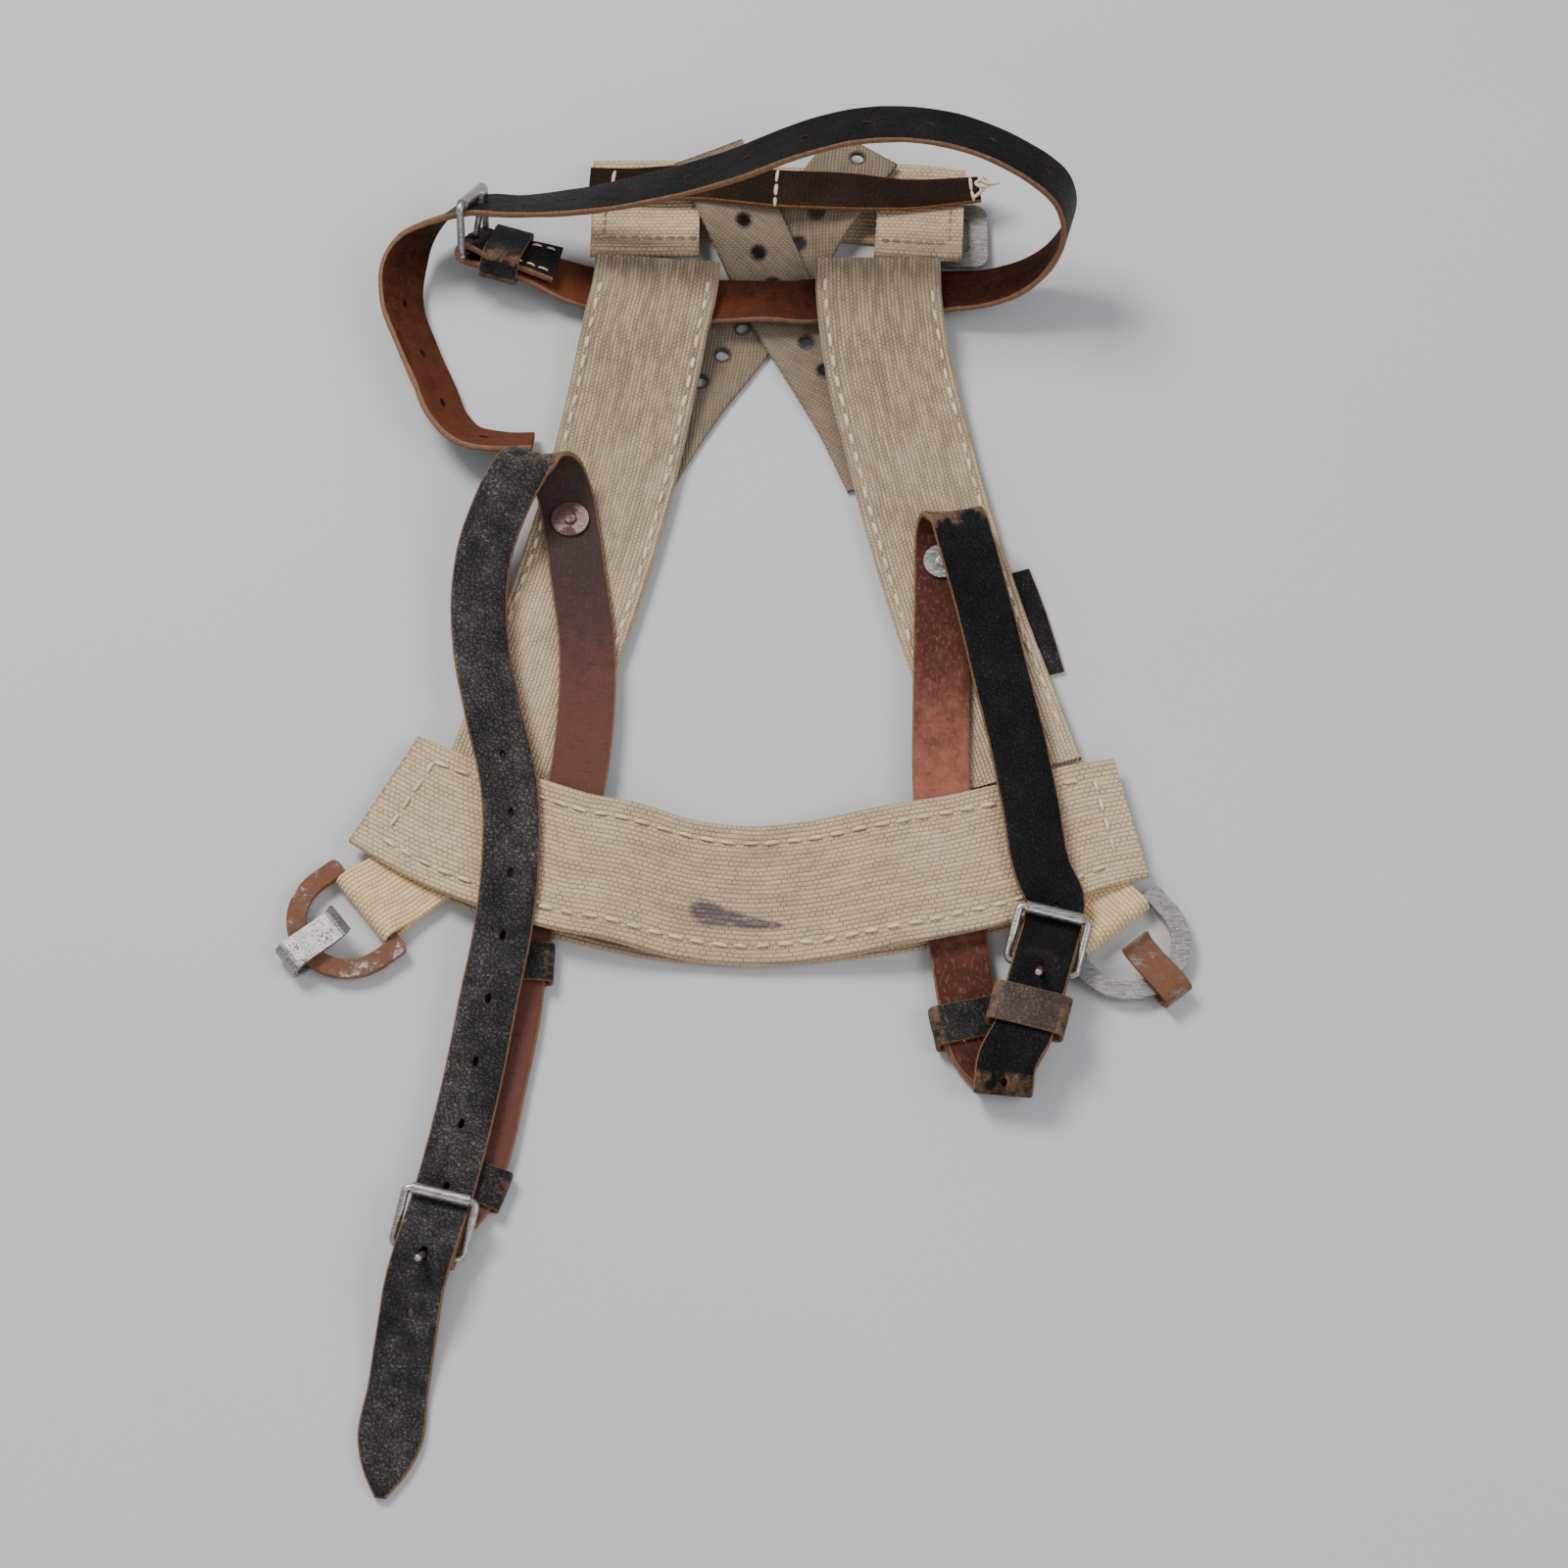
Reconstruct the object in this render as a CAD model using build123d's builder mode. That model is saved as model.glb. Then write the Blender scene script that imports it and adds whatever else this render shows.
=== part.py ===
from build123d import *
import math
import os

# Pack carrying frame: a webbing A-frame that lies flat on a table, front side up.
# Millimetres, +Y from the bottom band to the top band, +Z up. Pieces are drawn from a point near the middle,
# and outline_shift then puts the origin under the middle of the whole outline.

# ---- driving dimensions ----
leather_width = 20.0
leather_thick = 2.5
leg_width = 46.0
leg_thick = 3.2
cross_width = 28.0
cross_thick = 1.8
band_ply = 2.4
back_ply = 1.6
hole_radius = 1.7
hole_pitch = 22.5
eyelet_radius = 2.5
eyelet_pitch = 13.7
wire_radius = 1.4
frame_corner = 2.0
roller_outer = 2.2
running_gap = 0.06
frame_half = 12.0
frame_length = 19.0
tongue_radius = 1.2
ring_thick = 2.5
ring_radius = 21.5
ring_band = 6.5
ring_bar = 3.0
ring_straight = 8.0
keeper_band = 14.0
keeper_thick = 1.5
outline_shift = (1.9, -7.2, 0)


# ---- a flat strap that follows stops chosen by hand ----
# A stop is (x, y, z, heading, lean, width): heading turns the strap's width in plan, lean tips it up.
def widen(width, stops):
    return [stop + (width,) for stop in stops]


def fold(centre, outward, upward, heading, lean, width=leather_width, radius=2.95):
    """Stops of a half turn round a bar, from the upward side over the outward side to the other side."""
    around = []
    for angle in (90, 45, 0, -45, -90):
        out, up = radius * math.cos(math.radians(angle)), radius * math.sin(math.radians(angle))
        place = tuple(c + out * a + up * b for c, a, b in zip(centre, outward, upward))
        around.append(place + (heading, lean, width))
    return around


def slopes(stops, reach):
    rates = []
    for i in range(len(stops)):
        before, after = max(i - 1, 0), min(i + 1, len(stops) - 1)
        back = reach[i] - reach[before] or reach[after] - reach[i]
        ahead = reach[after] - reach[i] or back
        rate = []
        for a, b, c in zip(stops[before], stops[i], stops[after]):
            down = (b - a) / back if before != i else (c - b) / ahead
            up = (c - b) / ahead if after != i else down
            rate.append((down * ahead + up * back) / (ahead + back))
        rates.append(rate)
    return rates


def walk(stops, spacing):
    """Places along the smooth curve through the stops: (distance, stop values, direction)."""
    reach = [0.0]
    for a, b in zip(stops, stops[1:]):
        reach.append(reach[-1] + math.dist(a[:3], b[:3]))
    rates = slopes(stops, reach)
    places = []
    for i in range(len(stops) - 1):
        span = reach[i + 1] - reach[i]
        turn = Vector(*rates[i][:3]).get_angle(Vector(*rates[i + 1][:3]))
        count = max(1, round(span / spacing), math.ceil(turn / 20))
        last = i == len(stops) - 2
        for k in range(count + (1 if last else 0)):
            t = k / count
            value, along = [], []
            for a, b, ra, rb in zip(stops[i], stops[i + 1], rates[i], rates[i + 1]):
                c2 = 3 * (b - a) - (2 * ra + rb) * span
                c3 = 2 * (a - b) + (ra + rb) * span
                value.append(a + ra * span * t + c2 * t**2 + c3 * t**3)
                along.append((ra * span + 2 * c2 * t + 3 * c3 * t**2) / span)
            places.append((reach[i] + span * t, value, Vector(*along[:3]).normalized()))
    return places


def cross_section(place):
    """Plane across the strap: x over its width, y through its thickness."""
    distance, (x, y, z, heading, lean, width), along = place
    turn, tip = math.radians(heading), math.radians(lean)
    across = Vector(math.cos(turn) * math.cos(tip), math.sin(turn) * math.cos(tip), math.sin(tip))
    across = (across - along * across.dot(along)).normalized()
    return Plane(origin=(x, y, z), x_dir=across, z_dir=along)


def ribbon(stops, thickness, spacing=6.0, holes=(), radius=hole_radius):
    places = walk(stops, spacing)
    with BuildPart() as strip:
        for place in places:
            with BuildSketch(cross_section(place)):
                Rectangle(place[1][5], thickness)
        loft(ruled=True)
        for distance in holes:
            place = min(places, key=lambda p: abs(p[0] - distance))
            section = cross_section(place)
            punch = Plane(origin=section.origin, x_dir=section.x_dir, z_dir=section.y_dir)
            with BuildSketch(punch):
                Circle(radius)
            extrude(amount=thickness, both=True, mode=Mode.SUBTRACT)
    return strip


def save(name, piece):
    placed = piece.part.moved(Location(outline_shift))
    placed.label = name
    export_step(placed, f"parts/{name}.step")


# ---- webbing A-frame ----
left_leg = widen(leg_width, [
    (-80, 0, 3.9, -17, 0), (-74, 20, 3.9, -17, 0), (-63, 58, 3.9, -17, 0), (-52, 98, 3.9, -16, 0),
    (-44, 134, 4.4, -14, 0), (-39, 160, 7.0, -11, 0), (-35, 181, 11.4, -8, 0), (-32, 196, 12.6, -4, 0),
    (-31, 208, 12.4, 0, 0),
])
right_leg = widen(leg_width, [
    (97, 2, 3.9, 19, 0), (90, 24, 3.9, 18, 0), (78, 62, 3.9, 17, 0), (67, 104, 3.9, 14, 0),
    (59, 140, 4.5, 11, 0), (54, 162, 7.4, 9, 0), (51, 182, 11.6, 6, 0), (50, 196, 12.6, 2, 0),
    (50, 208, 12.4, 0, 0),
])
slash_cross = [
    (-52, 60, 1.2, -16, 0, 18), (-44, 97, 1.2, -18, 0, 20), (-35, 128, 1.2, -26, 0, 28),
    (-20, 155, 1.2, -33, 0, 28), (-3, 180, 1.2, -31, 0, 28), (10, 202, 1.2, -27, 0, 28),
    (15, 211, 1.5, -27, 0, 28), (20, 219, 3.4, -28, 0, 28), (26, 229, 7.4, -30, 0, 28),
    (33, 239, 10.2, -33, 0, 28), (46, 259, 9.4, -34, 0, 28),
]
backslash_cross = widen(cross_width, [
    (51, 122, 1.2, 20, 0), (41, 146, 1.2, 23, 0), (29, 168, 3.2, 26, 0), (19, 186, 3.4, 26, 0),
    (11, 203, 3.7, 24, 0), (7, 212, 5.8, 23, 0), (2, 223, 9.3, 22, 0), (-3, 234, 11.4, 24, 0),
    (-13, 257, 9.4, 24, 0),
])
front_band = [
    (-123, -4, 6.6, 64, 0, 46), (-107, -13, 7.4, 68, 0, 49), (-92, -20, 8.2, 71, 0, 51),
    (-75, -27, 9.8, 74, 0, 52), (-57, -33, 10.2, 77, 0, 52), (-42, -36, 10.2, 80, 0, 52),
    (-18, -41, 4.8, 86, 0, 52), (2, -43, 3.6, 90, 0, 52), (23, -42, 4.8, 94, 0, 52), (53, -38, 10.2, 99, 0, 52),
    (82, -32, 10.2, 104, 0, 51), (100, -26, 8.1, 107, 0, 50), (118, -19, 7.2, 109, 0, 48),
    (135, -15, 6.6, 110, 0, 46),
]
back_band = [
    (-114, -9, 1.1, 66, 0, 44), (-92, -20, 1.1, 71, 0, 49), (-57, -33, 1.1, 77, 0, 50),
    (-15, -42, 1.1, 86, 0, 50), (20, -42, 1.1, 94, 0, 50), (53, -38, 1.1, 99, 0, 50),
    (100, -26, 1.1, 107, 0, 48), (125, -17, 1.1, 109, 0, 42),
]
left_top = [(-56, 233, 8.5, 90, -8, 46), (-36, 233, 8.6, 90, -8, 46), (-16, 233, 8.5, 90, -8, 46)]
right_top = [(50, 232, 8.5, 90, -8, 46), (65, 231, 8.6, 90, -8, 46), (82, 230, 8.5, 90, -8, 44)]
back_top = [(-55, 239, 1.1, 90, 0, 32), (14, 240, 1.1, 90, 0, 32), (81, 236, 1.1, 90, 0, 32)]
tunnel_strip = [
    (-57, 242, 10.6, 90, 0, 15), (-42, 241, 11.6, 90, 0, 15), (-20, 241, 13.9, 90, 0, 15),
    (14, 238, 14.0, 90, 0, 16), (38, 237, 13.8, 90, 0, 16), (62, 237, 11.6, 90, 0, 13),
    (88, 240, 10.6, 90, 0, 11),
]
rear_tab = widen(20.0, [(93.5, 82, 1.2, 14, 0), (98.5, 66, 1.2, 15, 0), (104.5, 42, 1.2, 12, 0)])

# ---- leather straps, from the folded buckle end to the tip ----
left_hinge, right_hinge, coat_hinge = (-101.7, -171.2, 6.5), (102.2, -72.4, 11.0), (-99, 215, 11)
left_strap = widen(leather_width, [
    (-98.8, -160.5, 6.8, -14, 0), (-100.4, -166.5, 8.9, -14, 0),
]) + fold(left_hinge, (-0.242, -0.970, 0), (0, 0, 1), -14, 0) + widen(leather_width, [
    (-98, -161, 3.5, -18, 0),
    (-91, -152, 3.5, -20, 0), (-86, -138, 3.5, -18, 0), (-81, -112, 2.9, -10, 0), (-77, -88, 3.0, -6, 0),
    (-75, -68, 3.4, -2, 0), (-72, -50, 3.9, 10, 0), (-65, -30, 5.2, 12, 0), (-57, -5, 7.2, 6, 0),
    (-54, 22, 7.3, 2, 0), (-54, 51, 7.3, 2, 0), (-58, 81, 7.3, 5, 0), (-61, 101, 7.3, 5, 0),
    (-62.2, 108, 7.4, 3, 0), (-64, 114, 10.2, 0, 0), (-67, 119, 15.5, -6, 0), (-71, 120, 20.5, -8, 0),
    (-76, 116, 24, -8, 0), (-81, 108, 23.5, -9, 0), (-86, 98, 19.5, -10, 0), (-90, 87, 15.5, -8, 0),
    (-92, 72, 13, -2, 0),
    (-91, 50, 12, 5, 0), (-86, 24, 12.6, 10, 0), (-79, -8, 13.6, 5, 0), (-78, -36, 13.6, 0, 0),
    (-80, -60, 12.4, -5, 0), (-84, -83, 9.8, -9, 0), (-88, -108, 8.2, -10, 0), (-93, -135, 8.6, -13, 0),
    (-97.3, -153.5, 8.3, -14, 0), (-101.7, -171.2, 12.4, -14, 0), (-105, -184, 10.5, -13, 0),
    (-107, -196, 6.0, -12, 0), (-109.5, -215, 2.2, -10, 0), (-112, -236, 1.9, -9, 0),
]) + [(-113, -244, 1.9, -9, 0, 14), (-114, -252, 1.9, -9, 0, 4)]
right_strap = widen(leather_width, [
    (99.4, -82.6, 9.6, -15, 0), (101, -77, 8.5, -15, 0),
]) + fold(right_hinge, (0.259, 0.966, 0), (0, 0, -1), -15, 0) + widen(leather_width, [
    (99.7, -81, 13.2, -15, 0), (95.5, -96, 12.6, -14, 0),
]) + fold((89, -110, 9.15), (-0.1, -0.995, 0), (0, 0, 1), -6, 0, radius=3.25) + widen(leather_width, [
    (81, -99, 5.9, 8, 0), (77.5, -84, 5.9, 8, 0), (75.5, -68, 4.6, 4, 0), (74, -54, 4.0, 4, 0),
    (71.5, -30, 5.4, 4, 0), (70, -6, 7.2, 2, 0), (70.5, 35, 7.3, 0, 0), (71.3, 66, 7.3, 0, 0),
    (71.6, 84, 7.3, 0, 0), (71.8, 90.5, 7.4, 2, 0), (72.2, 95.5, 10.5, 4, 0), (73.6, 98.5, 16, 7, 0),
    (76.3, 96, 20.8, 8, 0),
    (79.5, 86, 20, 10, 0), (83, 74, 16, 14, 0), (87, 58, 12.6, 15, 0), (91, 38, 11.8, 14, 0),
    (96, 12, 12.8, 12, 0), (100, -14, 14, 11, 0), (103.5, -38, 13.8, 4, 0), (107.8, -50, 12.3, -13, 0),
    (107, -54.6, 11.5, -15, 0),
    (102.4, -72.4, 17.0, -15, 0), (99.9, -81, 15.9, -15, 0), (95.7, -96, 15.6, -14, 0),
]) + fold((89, -110, 9.25), (-0.1, -0.995, 0), (0, 0, 1), -6, 0, radius=6.2) + widen(leather_width, [
    (82.5, -102, 3.1, 8, 0), (77.5, -92, 3.1, 14, 0), (75, -82, 3.1, 14, 0),
])
coat_strap = widen(leather_width, [
    (-68, 207.5, 9.8, 84, -20), (-80, 210.4, 11.8, 78, -28), (-91, 213.4, 13.0, 72, -34),
]) + fold(coat_hinge, (-0.946, 0.237, -0.183), (0, 0.612, 0.791), 68, -36) + widen(leather_width, [
    (-91, 211.2, 9.2, 72, -34), (-79, 208, 8.4, 78, -26), (-65, 203, 5.9, 84, -15), (-48, 198, 5.4, 88, -10),
    (-30, 194.5, 6.0, 90, -10), (-12, 193, 7.5, 90, -9), (8, 192, 9.6, 90, -14), (24, 193, 7.6, 92, -8),
    (40, 196, 7.0, 92, -8), (62, 198, 5.8, 90, -10), (78, 198, 6.8, 88, -14), (92, 198, 9.5, 86, -18),
    (106, 201, 15, 80, -20), (115, 205, 25, 76, -18), (118.5, 209, 38, 76, -16), (115, 213, 51, 78, -16),
    (103, 218, 60.5, 84, -18), (84, 225, 66, 88, -20), (61, 229.5, 67.5, 92, -20), (39, 230, 65, 94, -20),
    (19, 227, 60, 96, -22), (0, 223, 53, 96, -24), (-20, 220.5, 46, 94, -26), (-40, 220, 38.5, 90, -28),
    (-61, 221, 31, 86, -32), (-82, 223, 25, 76, -36), (-99, 224.3, 23.0, 68, -36),
    (-110, 221.5, 19.5, 60, -38), (-120, 214, 14.7, 38, -42), (-125, 203, 11.0, 6, -44),
    (-124.5, 190, 9.8, 8, -42), (-119, 174, 9.4, 20, -42), (-111.5, 156, 9.4, 24, -42),
    (-106, 143, 9.6, 34, -42), (-98.5, 135, 9.8, 60, -42), (-87, 132.5, 9.8, 84, -44),
    (-75, 132.5, 9.8, 90, -46),
])


# ---- roller buckle ----
def buckle(side, hinge_at, bar_along, toward_roller):
    """Wire frame, hollow roller and wire tongue; local x is along the bars and y runs from hinge to roller."""
    bar, reach = Vector(*bar_along).normalized(), Vector(*toward_roller)
    reach = (reach - bar * reach.dot(bar)).normalized()
    seat = Plane(origin=hinge_at, x_dir=bar, z_dir=bar.cross(reach))
    with BuildPart() as frame:
        with BuildLine(seat) as loop:
            wide, deep = frame_half - frame_corner, frame_length - frame_corner
            for x, y, turn in (
                (wide, frame_corner, -90), (wide, deep, 0), (-wide, deep, 90), (-wide, frame_corner, 180)
            ):
                CenterArc((x, y), frame_corner, turn, 90)
            Line((0, 0), (wide, 0))
            Line((frame_half, frame_corner), (frame_half, deep))
            Line((wide, frame_length), (-wide, frame_length))
            Line((-frame_half, deep), (-frame_half, frame_corner))
            Line((-wide, 0), (0, 0))
        with BuildSketch(Plane(origin=seat.origin, x_dir=seat.y_dir, z_dir=seat.x_dir)):
            Circle(wire_radius)
        sweep(path=loop.wires()[0])
    save(f"{side}_buckle_frame", frame)
    roller_half = frame_half - frame_corner - 0.1
    roller_end = seat.origin + seat.y_dir * frame_length - seat.x_dir * roller_half
    with BuildPart() as roller:
        with BuildSketch(Plane(origin=roller_end, x_dir=seat.y_dir, z_dir=seat.x_dir)):
            Circle(roller_outer)
            Circle(wire_radius + running_gap, mode=Mode.SUBTRACT)
        extrude(amount=2 * roller_half)
    save(f"{side}_buckle_roller", roller)
    return seat


def tongue(side, seat, lean, length):
    """Eye round the hinge bar with a prong that leans from the frame's plane by the given angle."""
    eye_half, eye_outer = 1.6, wire_radius + running_gap + 1.3
    tilt = math.radians(lean)
    prong = seat.y_dir * math.cos(tilt) + seat.z_dir * math.sin(tilt)
    start = seat.origin + prong * (wire_radius + 0.5)
    with BuildPart() as piece:
        with BuildSketch(Plane(origin=start, z_dir=prong)):
            Circle(tongue_radius)
        extrude(amount=length - wire_radius - 0.5)
        fillet(piece.edges().sort_by(Axis(seat.origin, prong))[-1], 0.8)
        with BuildSketch(Plane(origin=seat.origin - seat.x_dir * eye_half, x_dir=seat.y_dir, z_dir=seat.x_dir)):
            Circle(eye_outer)
        extrude(amount=2 * eye_half)
        with BuildSketch(Plane(origin=seat.origin - seat.x_dir * eye_half, x_dir=seat.y_dir, z_dir=seat.x_dir)):
            Circle(wire_radius + running_gap)
        extrude(amount=2 * eye_half, mode=Mode.SUBTRACT)
    save(f"{side}_buckle_tongue", piece)
    return prong


def tongue_room(piece, seat, prong, length, width=4.4, play=9.0):
    """Cuts the slot at the folded strap end and the hole that the prong passes through."""
    half_span = math.tan(math.radians(play)) * length
    with BuildPart() as cut:
        with BuildSketch(Plane(origin=seat.origin - seat.x_dir * width / 2, x_dir=prong, z_dir=seat.x_dir)):
            Circle(wire_radius + running_gap + 1.3 + 1.8)
            with BuildLine():
                Polyline((0, -2.0), (length, -half_span - 1.8), (length, half_span + 1.8), (0, 2.0), close=True)
            make_face()
        extrude(amount=width)
    with BuildPart() as slotted:
        add(piece.part)
        add(cut.part, mode=Mode.SUBTRACT)
    return slotted


def drill(piece, x, y, low, high, radius):
    with BuildPart() as drilled:
        add(piece.part)
        with BuildSketch(Plane.XY.offset(low)):
            with Locations((x, y)):
                Circle(radius)
        extrude(amount=high - low, mode=Mode.SUBTRACT)
    return drilled


def rivet(side, x, y):
    """Shank through strap and leg with a washer and a peened head in front and a washer behind."""
    strap_top, leg_under = 8.8, 2.15
    with BuildPart() as pin:
        with BuildSketch(Plane.XY.offset(leg_under - 1.4)):
            with Locations((x, y)):
                Circle(1.6)
        extrude(amount=strap_top + 1.3 - leg_under + 1.4)
        with BuildSketch(Plane.XY.offset(strap_top + 0.95)):
            with Locations((x, y)):
                Circle(2.3)
        extrude(amount=0.9)
        fillet(pin.edges().group_by(Axis.Z)[-1], 0.5)
    save(f"{side}_rivet", pin)
    with BuildPart() as washers:
        with BuildSketch(Plane.XY.offset(strap_top), Plane.XY.offset(leg_under - 0.9)):
            with Locations((x, y)):
                Circle(6.7)
                Circle(1.63, mode=Mode.SUBTRACT)
        extrude(amount=0.9)
    save(f"{side}_rivet_washers", washers)


def side_view(bar_at, out, width, rows):
    """Stops for a strip that runs outward from a ring's bar; a row is (distance from the bar, height)."""
    heading = math.degrees(math.atan2(-out.X, out.Y))
    return [(bar_at[0] + out.X * n, bar_at[1] + out.Y * n, z, heading, 0, width) for n, z in rows]


def hook_ring(side, bar_at, outward):
    """Flat D-ring whose straight bar turns in a folded tab, with a strip bent back over it as a hook."""
    out = Vector(*outward).normalized()
    seat = Plane(origin=Vector(*bar_at) - Vector(0, 0, ring_thick / 2), x_dir=(out.Y, -out.X, 0), z_dir=(0, 0, 1))
    with BuildPart() as ring:
        with BuildSketch(seat):
            for radius, base, mode in (
                (ring_radius, -ring_bar / 2, Mode.ADD), (ring_radius - ring_band, ring_bar / 2, Mode.SUBTRACT)
            ):
                with BuildLine():
                    CenterArc((0, ring_straight), radius, 0, 180)
                    Polyline((-radius, ring_straight), (-radius, base), (radius, base), (radius, ring_straight))
                make_face(mode=mode)
        extrude(amount=ring_thick)
        fillet(ring.edges().filter_by(Axis.Z).sort_by(Axis(seat.origin, seat.y_dir))[:2], 2.5)
    save(f"{side}_ring", ring)
    hook_rows = [(23.5, 1.97), (31.3, 1.97), (33.4, 2.85), (34.3, 5.0), (33.4, 7.1), (31.3, 8.0), (24, 8.0),
                 (15.5, 8.2), (12.6, 9.0), (11.2, 10.6)]
    save(f"{side}_hook", ribbon(side_view(bar_at, out, 11.0, hook_rows), 1.5, 3.0))
    tab_rows = [(-26, 2.8), (-14, 2.8), (-8.5, 2.75), (-4.5, 1.8), (0, 1.05), (2.09, 1.91), (2.95, 4.0),
                (2.09, 6.09), (0, 6.95), (-3.5, 6.2), (-8, 4.75), (-14, 4.35), (-26, 4.35)]
    save(f"{side}_ring_tab", ribbon(side_view(bar_at, out, 28.6, tab_rows), 1.3, 3.0))


def keeper(name, centre, heading, lean, along, wide, tall):
    """Closed leather loop round a strap; wide and tall are its inside."""
    seat = cross_section((0, (*centre, heading, lean, 0), Vector(*along).normalized()))
    with BuildPart() as band:
        with BuildSketch(seat):
            RectangleRounded(wide + 2 * keeper_thick, tall + 2 * keeper_thick, 2.0)
            RectangleRounded(wide, tall, 0.6, mode=Mode.SUBTRACT)
        extrude(amount=keeper_band / 2, both=True)
    save(name, band)


def hole_row(stops, hinge, before, after):
    """Distances of the tip's holes at the hole pitch, counted from where the strap passes over its buckle."""
    reach, passing = 0.0, []
    for a, b in zip(stops, stops[1:]):
        reach += math.dist(a[:3], b[:3])
        if reach > 100:
            passing.append((math.dist(b[:3], hinge), reach))
    start = min(passing)[1]
    return [start + k * hole_pitch for k in range(-before, after + 1) if k]


os.makedirs("parts", exist_ok=True)

# ---- webbing ----
rivet_spots = {"left": (-61, 101), "right": (71.6, 84)}
for side, stops in (("left", left_leg), ("right", right_leg)):
    save(f"{side}_leg_webbing", drill(ribbon(stops, leg_thick), *rivet_spots[side], -1, 9, 1.65))
slash_length = sum(math.dist(a[:3], b[:3]) for a, b in zip(slash_cross, slash_cross[1:]))
eyelets = [slash_length - 6 - k * eyelet_pitch for k in range(10)]
save("slash_cross_strap", ribbon(slash_cross, cross_thick, 4.0, eyelets, eyelet_radius))
backslash_length = sum(math.dist(a[:3], b[:3]) for a, b in zip(backslash_cross, backslash_cross[1:]))
eyelets = [backslash_length - 6 - k * eyelet_pitch for k in range(9)]
save("backslash_cross_strap", ribbon(backslash_cross, cross_thick, 4.0, eyelets, eyelet_radius))
save("bottom_band_front", ribbon(front_band, band_ply))
save("bottom_band_back", ribbon(back_band, back_ply))
save("top_band_left", ribbon(left_top, band_ply))
save("top_band_right", ribbon(right_top, band_ply))
save("top_band_back", ribbon(back_top, back_ply))
save("tunnel_strip", ribbon(tunnel_strip, 2.0))
save("rear_leather_tab", ribbon(rear_tab, 1.8))

# ---- buckles and leather straps ----
left_seat = buckle("left", left_hinge, (0.970, -0.242, 0), (4.4, 17.65, 5.55))
left_prong = tongue("left", left_seat, 100, 15.5)
left_belt = ribbon(left_strap, leather_thick, 6.0, hole_row(left_strap, left_hinge, 8, 1))
left_belt = tongue_room(left_belt, left_seat, left_prong, 11)
save("left_side_strap", drill(left_belt, *rivet_spots["left"], 5, 9, 1.65))

right_seat = buckle("right", right_hinge, (0.966, -0.259, 0), (4.5, 16.7, 4.2))
right_prong = tongue("right", right_seat, 106, 15.5)
right_belt = ribbon(right_strap, leather_thick, 6.0, hole_row(right_strap, right_hinge, 2, 2))
right_belt = tongue_room(right_belt, right_seat, right_prong, 11)
save("right_side_strap", drill(right_belt, *rivet_spots["right"], 5, 9, 1.65))

coat_seat = buckle("coat", coat_hinge, (0.302, 0.754, -0.583), (0, 0.612, 0.791))
coat_prong = tongue("coat", coat_seat, 12, 22.0)
coat_belt = ribbon(coat_strap, leather_thick, 6.0, hole_row(coat_strap, coat_hinge, 11, 5))
save("coat_strap", tongue_room(coat_belt, coat_seat, coat_prong, 18, play=5.0))

for side, spot in rivet_spots.items():
    rivet(side, *spot)

# ---- keepers ----
keeper("left_buckle_keeper", (-88.6, -146, 3.6), -20, 0, (0.34, 0.94, 0), 22.4, 3.4)
keeper("left_stitched_keeper", (-75.2, -68, 3.65), -2, 0, (0.03, 1, 0), 22.0, 3.8)
keeper("right_buckle_keeper", (97.4, -89.5, 14.2), -15, 0, (0.26, 0.966, 0), 24.0, 6.6)
keeper("right_tip_keeper", (78.5, -90, 4.6), 10, 0, (-0.2, 0.98, 0), 24.0, 5.7)
keeper("coat_keeper", (-87, 211.2, 10.9), 75, -31, (0.96, -0.26, -0.08), 22.2, 9.8)

# ---- rings ----
hook_ring("left", (-126.7, -47, 4.0), (-0.785, -0.62, 0))
hook_ring("right", (127.3, -53.8, 4.0), (0.627, -0.78, 0))

# ---- rear fittings of the top band ----
with BuildPart() as rear_plate:
    with BuildSketch(Plane.XY.offset(2.2)):
        with Locations((78, 224)):
            RectangleRounded(26, 27, 5)
            RectangleRounded(12, 15, 2, mode=Mode.SUBTRACT)
    extrude(amount=1.5)
save("rear_ring_plate", rear_plate)
with BuildPart() as stud:
    with BuildSketch(Plane.XY.offset(1.95)):
        with Locations((6, 249)):
            Circle(2.0)
    extrude(amount=4.4)
    with BuildSketch(Plane.XY.offset(6.3)):
        with Locations((6, 249)):
            Circle(3.4)
    extrude(amount=1.2)
    fillet(stud.edges().group_by(Axis.Z)[-1], 0.5)
save("top_stud", stud)
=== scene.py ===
import math
import random
from collections import namedtuple

import bpy
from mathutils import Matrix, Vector, noise


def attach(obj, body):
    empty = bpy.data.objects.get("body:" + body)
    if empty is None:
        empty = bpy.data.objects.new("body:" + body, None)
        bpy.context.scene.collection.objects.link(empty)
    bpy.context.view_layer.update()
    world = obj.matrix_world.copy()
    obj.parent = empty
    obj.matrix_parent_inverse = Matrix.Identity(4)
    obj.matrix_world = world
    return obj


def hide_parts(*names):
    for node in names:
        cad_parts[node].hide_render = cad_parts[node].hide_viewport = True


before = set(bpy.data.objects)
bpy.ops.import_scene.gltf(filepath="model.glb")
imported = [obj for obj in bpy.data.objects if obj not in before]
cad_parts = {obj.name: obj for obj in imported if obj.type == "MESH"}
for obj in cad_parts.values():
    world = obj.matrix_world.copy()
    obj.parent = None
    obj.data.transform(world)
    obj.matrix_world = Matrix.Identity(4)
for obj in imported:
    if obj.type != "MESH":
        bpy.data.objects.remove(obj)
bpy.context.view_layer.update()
MM = 0.001
SHIFT = Vector((0.0019, -0.0072, 0.0))
rng = random.Random(11)

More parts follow.
